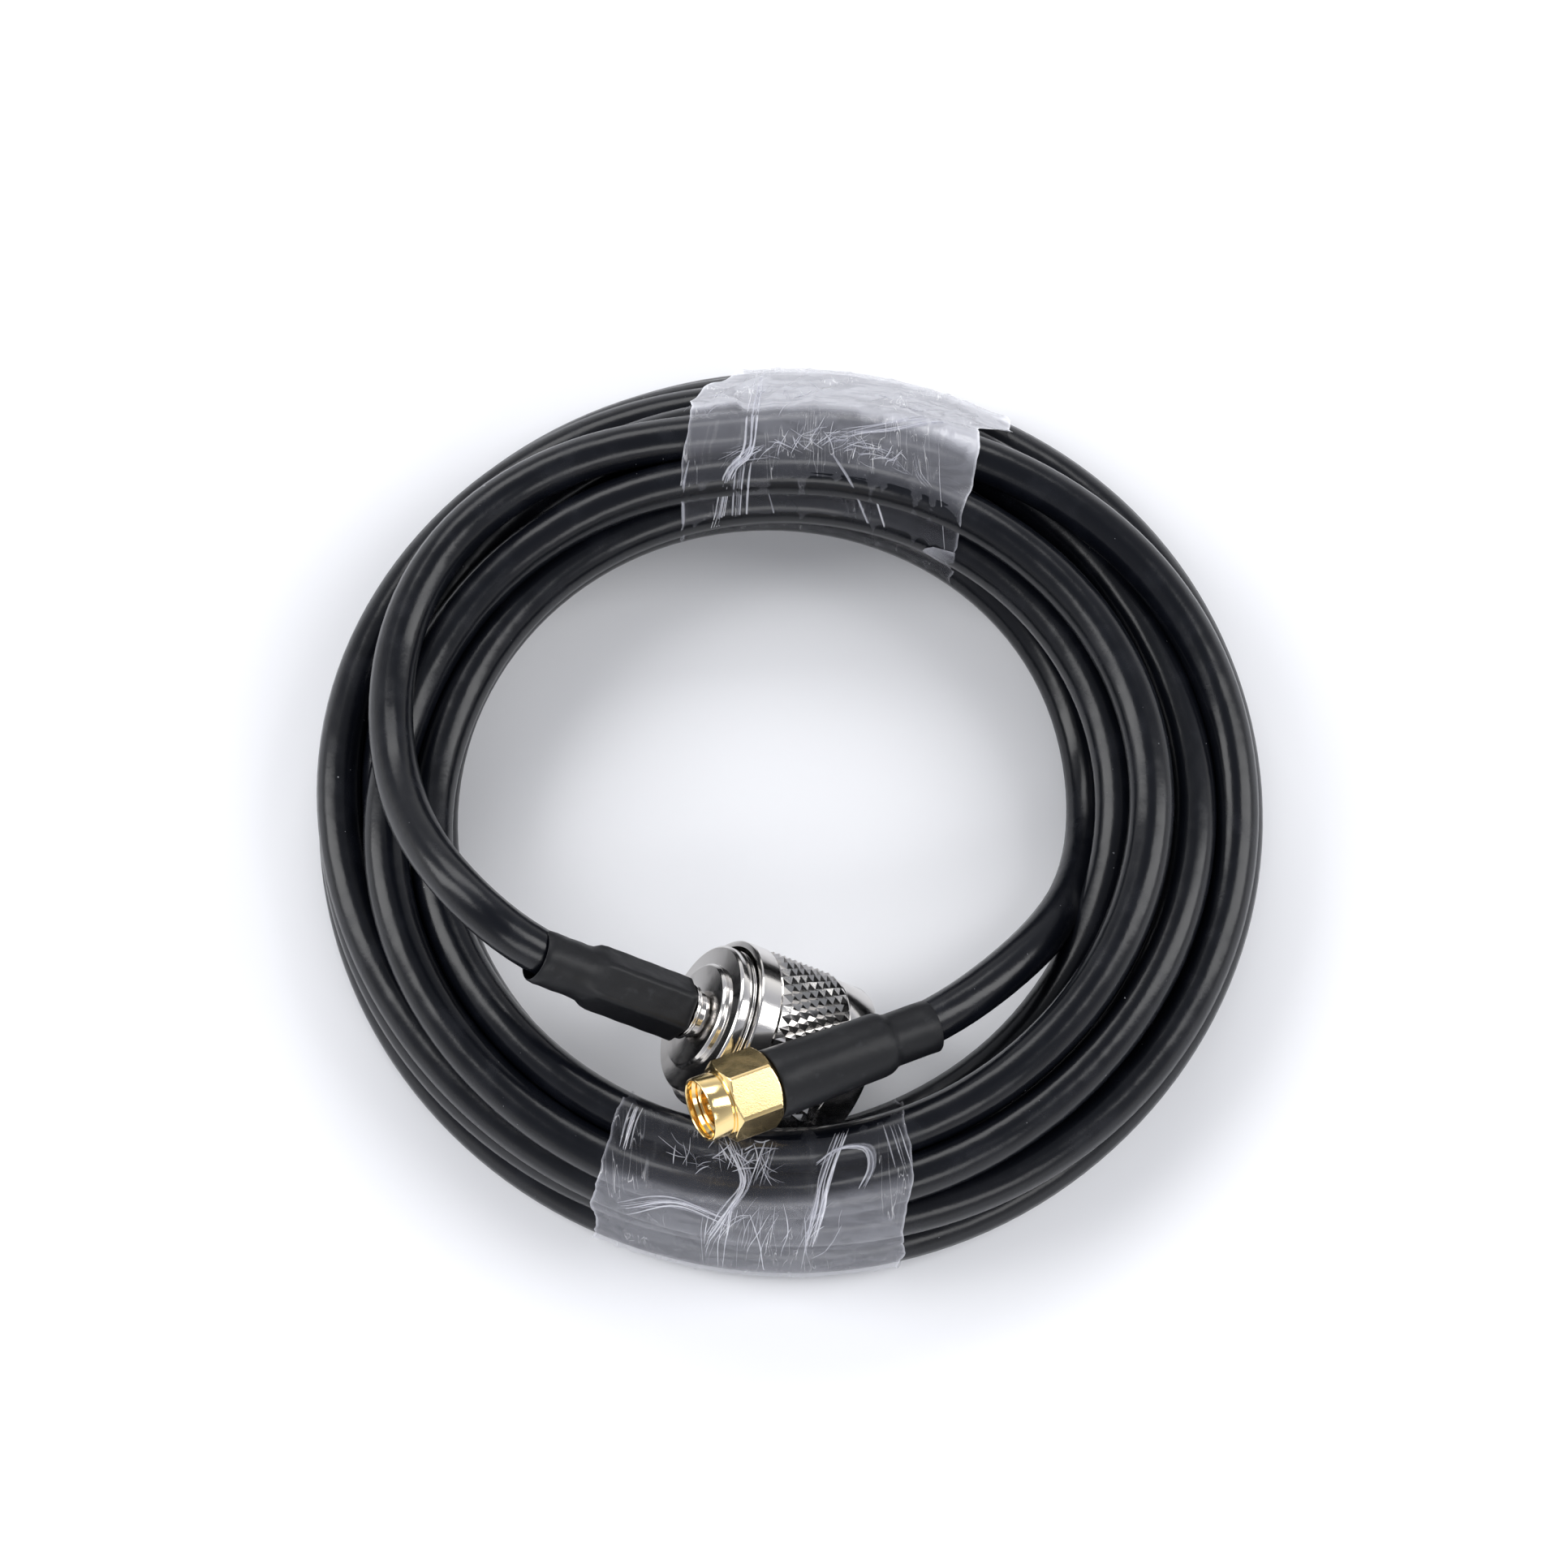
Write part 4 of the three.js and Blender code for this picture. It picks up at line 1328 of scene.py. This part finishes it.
    def sleeve(self) -> bmesh.types.BMesh:
        """Returns the shrunk sleeve: hexagonal over the crimp, round over the cable."""
        front, hex_back, back = -4.4, -15.9, -22.9
        sides = between((self.sleeve_radius, back), (self.sleeve_radius, front), 24)[1:-1]
        mesh = turned([(2.75, back), (2.95, back), (3.05, back + 0.12), *sides,
                       (self.sleeve_radius, front - 0.15), (3.1, front), (2.85, front),
                       (2.85, -14.9), (2.75, -15.1)], 120)
        roll = math.radians(90 + self.roll)
        for vert in mesh.verts:
            radius, angle, along = polar(vert)
            if radius < 2.9:
                continue
            over = min(max((along - hex_back + 1.2) / 1.6, 0.0), 1.0)
            over = over * over * (3 - 2 * over)
            hexagon = min(hex_radius(angle, 6.5, roll), 3.62)
            hexagon += 0.02 * math.sin(along * 1.9 + 3 * angle)
            sag = 3.0 + 0.05 * math.cos(2 * angle + 1.0) + 0.03 * math.sin(along * 2.3 + angle)
            wanted = sag + (hexagon - sag) * over
            rounding = min(radius / self.sleeve_radius, 1.0)
            widen(vert, wanted / radius * rounding)
        return mesh


@dataclass
class SmaPlug:
    """The SMA plug: a hexagon nut on a turned body. Places count back from the nut's mouth, in mm."""

    across_flats: float = 8.0
    collar: float = 2.5
    length: float = 8.0
    thread_radius: float = 3.2
    thread_pitch: float = 0.7
    thread_depth: float = 0.22
    roll: float = -20.0

    def build(self, gold: bpy.types.Material, ptfe: bpy.types.Material,
              shrink: bpy.types.Material) -> list[bpy.types.Object]:
        """Makes and dresses every piece of the plug.

        Args:
            gold: The plating.
            ptfe: The insulator's material.
            shrink: The sleeve's material.

        Returns:
            The pieces.
        """
        return [
            SMA_FRAME.piece("sma_nut_hex", "sma_coupling_nut", self.nut(), gold, Slot.GOLD, SMA_NUT, 22.0),
            SMA_FRAME.piece("sma_body_turned", "sma_body", self.body(), gold, Slot.GOLD),
            SMA_FRAME.piece("sma_dielectric", "sma_insulator", washer(0.8, 1.75, -4.3, -2.8, 0.08),
                            ptfe, Slot.PTFE),
            SMA_FRAME.piece("sma_pin", "sma_centre_pin", self.pin(), gold, Slot.GOLD),
            SMA_FRAME.piece("sma_ferrule", "sma_crimp_ferrule", self.ferrule(), gold, Slot.GOLD),
            SMA_FRAME.piece("sma_sleeve", "sma_heat_shrink", self.sleeve(), shrink, Slot.SHRINK, ROOT, 50.0),
        ]

    def nut(self) -> bmesh.types.BMesh:
        """Returns the nut: a chamfered hexagon, a round collar and a threaded mouth."""
        corner = self.across_flats / 2 / math.cos(math.pi / 6) + 0.05
        flat_from, flat_to = -self.length, -self.collar
        outer = [
            *between((4.0, flat_from), (corner, flat_from + 0.5), 8), (corner, flat_from + 2.0),
            (corner, flat_to - 1.6), *between((corner, flat_to - 0.45), (3.95, flat_to), 8),
        ]
        rings = thread(self.thread_radius, self.thread_depth, self.thread_pitch, -0.45, -6.0)
        profile = [*outer, (3.6, flat_to), (3.5, flat_to + 0.12), (3.55, flat_to + 0.4),
                   (3.55, -0.3), (3.5, -0.08), (3.42, 0.0), (3.3, 0.0), (3.22, -0.1), *rings,
                   (self.thread_radius, -6.3), (2.55, -6.3), (2.55, -self.length)]
        mesh = turned(profile, 120)
        roll = math.radians(90 + self.roll)
        for vert in mesh.verts:
            radius, angle, _ = polar(vert)
            if radius > 3.9:
                limit = hex_radius(angle, self.across_flats, roll)
                widen(vert, min(limit / radius, 1.0))
        return mesh

    @staticmethod
    def body() -> bmesh.types.BMesh:
        """Returns the turned body, from its stem to the sleeve round the pin."""
        return turned(eased([
            (0.0, -17.0), (1.7, -17.0), (1.7, -9.2), (2.8, -9.2), (2.8, -8.3), (2.25, -8.3), (2.25, -6.0),
            (2.9, -6.0), (2.9, -4.6), (2.35, -4.6), (2.35, -1.2), (2.05, -1.2), (2.05, -4.6), (0.0, -4.6),
        ], 0.06), 96)

    @staticmethod
    def pin() -> bmesh.types.BMesh:
        """Returns the centre pin with its rounded tip."""
        return turned(eased([(0.0, -4.3), (0.5, -4.3), (0.5, -1.4), (0.3, -1.0), (0.17, -0.9),
                             (0.0, -0.9)], 0.08), 40)

    @staticmethod
    def ferrule() -> bmesh.types.BMesh:
        """Returns the crimp ferrule under the sleeve."""
        return turned(eased([(2.0, -19.0), (2.5, -19.0), (2.5, -10.0), (2.8, -10.0), (2.8, -9.5),
                             (2.0, -9.5)], 0.08))

    @staticmethod
    def sleeve() -> bmesh.types.BMesh:
        """Returns the shrunk sleeve: wide over the ferrule, narrow over the cable."""
        front, back = -8.4, -28.4
        profile = [
            (2.6, back), (2.82, back), (2.9, back + 0.12), (2.9, back + 1.5), (2.92, back + 4.9),
            (3.0, back + 5.4), (3.26, back + 5.8), (3.46, back + 6.3), (3.54, back + 7.0),
            (3.62, back + 11.0), (3.7, back + 15.0), (3.76, front - 1.2), (3.78, front - 0.25),
            (3.72, front - 0.06), (3.6, front), (3.1, front), (3.1, -19.2), (2.6, -19.6),
        ]
        mesh = turned(profile, 96)
        for vert in mesh.verts:
            radius, angle, along = polar(vert)
            if radius > 2.7:
                widen(vert, 1 + 0.012 * math.sin(2 * angle + along * 0.4)
                      + 0.008 * math.sin(along * 1.7 + 3 * angle))
        return mesh


# Studio


@dataclass
class Studio:
    """The floor, the soft lights and the camera."""

    elevation: float = 72.0
    distance: float = 0.512
    target: tuple[float, float, float] = (-0.0005, 0.0039, 0.0)
    angle: float = 20.0
    strength: float = 1.12

    def camera(self) -> None:
        """Places the camera at the photograph's angle."""
        data = bpy.data.cameras.new("camera")
        data.sensor_fit = "AUTO"
        data.angle = math.radians(self.angle)
        data.clip_start = 0.01
        data.clip_end = 20.0
        item = add("camera", data)
        tilt = math.radians(self.elevation)
        back = Vector((0.0, -math.cos(tilt), math.sin(tilt))) * self.distance
        item.location = Vector(self.target) + back
        item.rotation_euler = (math.radians(90.0 - self.elevation), 0.0, 0.0)
        bpy.context.scene.camera = item

    def floor(self) -> None:
        """Lays the floor."""
        mesh = bmesh.new()
        bmesh.ops.create_grid(mesh, x_segments=1, y_segments=1, size=0.8)
        data = bpy.data.meshes.new("floor")
        mesh.to_mesh(data)
        mesh.free()
        data.materials.append(PaleFloor().make())
        item = add("floor", data)

    @staticmethod
    def light(name: str, place: tuple[float, float, float], size: tuple[float, float],
              power: float) -> None:
        """Hangs one soft light that faces the lead.

        Args:
            name: Its name.
            place: Where it hangs, in metres.
            size: Its width and height, in metres.
            power: Its power, in watts.
        """
        data = bpy.data.lights.new(name, "AREA")
        data.shape = "RECTANGLE"
        data.size, data.size_y = size
        data.energy = power
        item = add(name, data)
        item.location = place
        item.rotation_euler = (-Vector(place)).to_track_quat("-Z", "Y").to_euler()

    def lights(self) -> None:
        """Hangs the lights and sets the even light all round: bright low down, dim overhead."""
        world = bpy.data.worlds.new("studio")
        bpy.context.scene.world = world
        world.use_nodes = True
        nodes, links = world.node_tree.nodes, world.node_tree.links
        background = next(n for n in nodes if n.type == "BACKGROUND")
        split = nodes.new("ShaderNodeSeparateXYZ")
        links.new(nodes.new("ShaderNodeTexCoord").outputs["Generated"], split.inputs[0])
        ramp = nodes.new("ShaderNodeValToRGB")
        Shader.fill_ramp(ramp.color_ramp, ((0.03, (1.0, 1.0, 1.0)), (0.30, (0.50, 0.51, 0.55)),
                                            (0.62, (0.30, 0.31, 0.34)), (1.0, (0.20, 0.21, 0.23))))
        links.new(split.outputs[2], ramp.inputs[0])
        links.new(ramp.outputs[0], background.inputs["Color"])
        background.inputs["Strength"].default_value = self.strength
        for softbox in (("far_softbox", (-0.10, 0.80, 0.80), (0.9, 0.45), 4.9),
                        ("left_softbox", (-0.75, 0.10, 0.66), (0.4, 0.9), 5.4),
                        ("right_softbox", (0.75, 0.05, 0.68), (0.4, 0.9), 5.1),
                        ("near_softbox", (0.15, -0.75, 0.60), (0.9, 0.3), 3.2)):
            self.light(*softbox)
        view = bpy.context.scene.view_settings
        view.view_transform = "Standard"
        view.look = "None"
        view.exposure = 0.0


def main() -> None:
    """Builds the lead and its studio, piece by piece."""
    logging.basicConfig(level=logging.INFO, format="%(message)s")
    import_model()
    studio = Studio()
    studio.camera()
    nickel = Plating("bright_nickel", (0.74, 0.72, 0.70), (0.60, 0.58, 0.56), 0.13).make()
    gold = Plating("bright_gold", (0.97, 0.74, 0.36), (0.88, 0.64, 0.28), 0.14).make()
    ptfe, rubber, shrink = WhitePtfe().make(), GasketBlack().make(), MatteShrink().make()
    n_pieces = NPlug().build(nickel, gold, ptfe, rubber, shrink)
    sma_pieces = SmaPlug().build(gold, ptfe, shrink)
    for piece in (*n_pieces, *sma_pieces):
        log.info("built %s with %d faces", piece.name, len(piece.data.polygons))
    cable = LeadCable()
    cable.build(BlackJacket().make(), sma_pieces)
    film = ClearWrap().make()
    for wrap in (FAR_FILM, NEAR_FILM):
        wrap.build(cable, film)
        log.info("built %s", wrap.name)
    studio.floor()
    studio.lights()


if __name__ == "__main__":
    main()
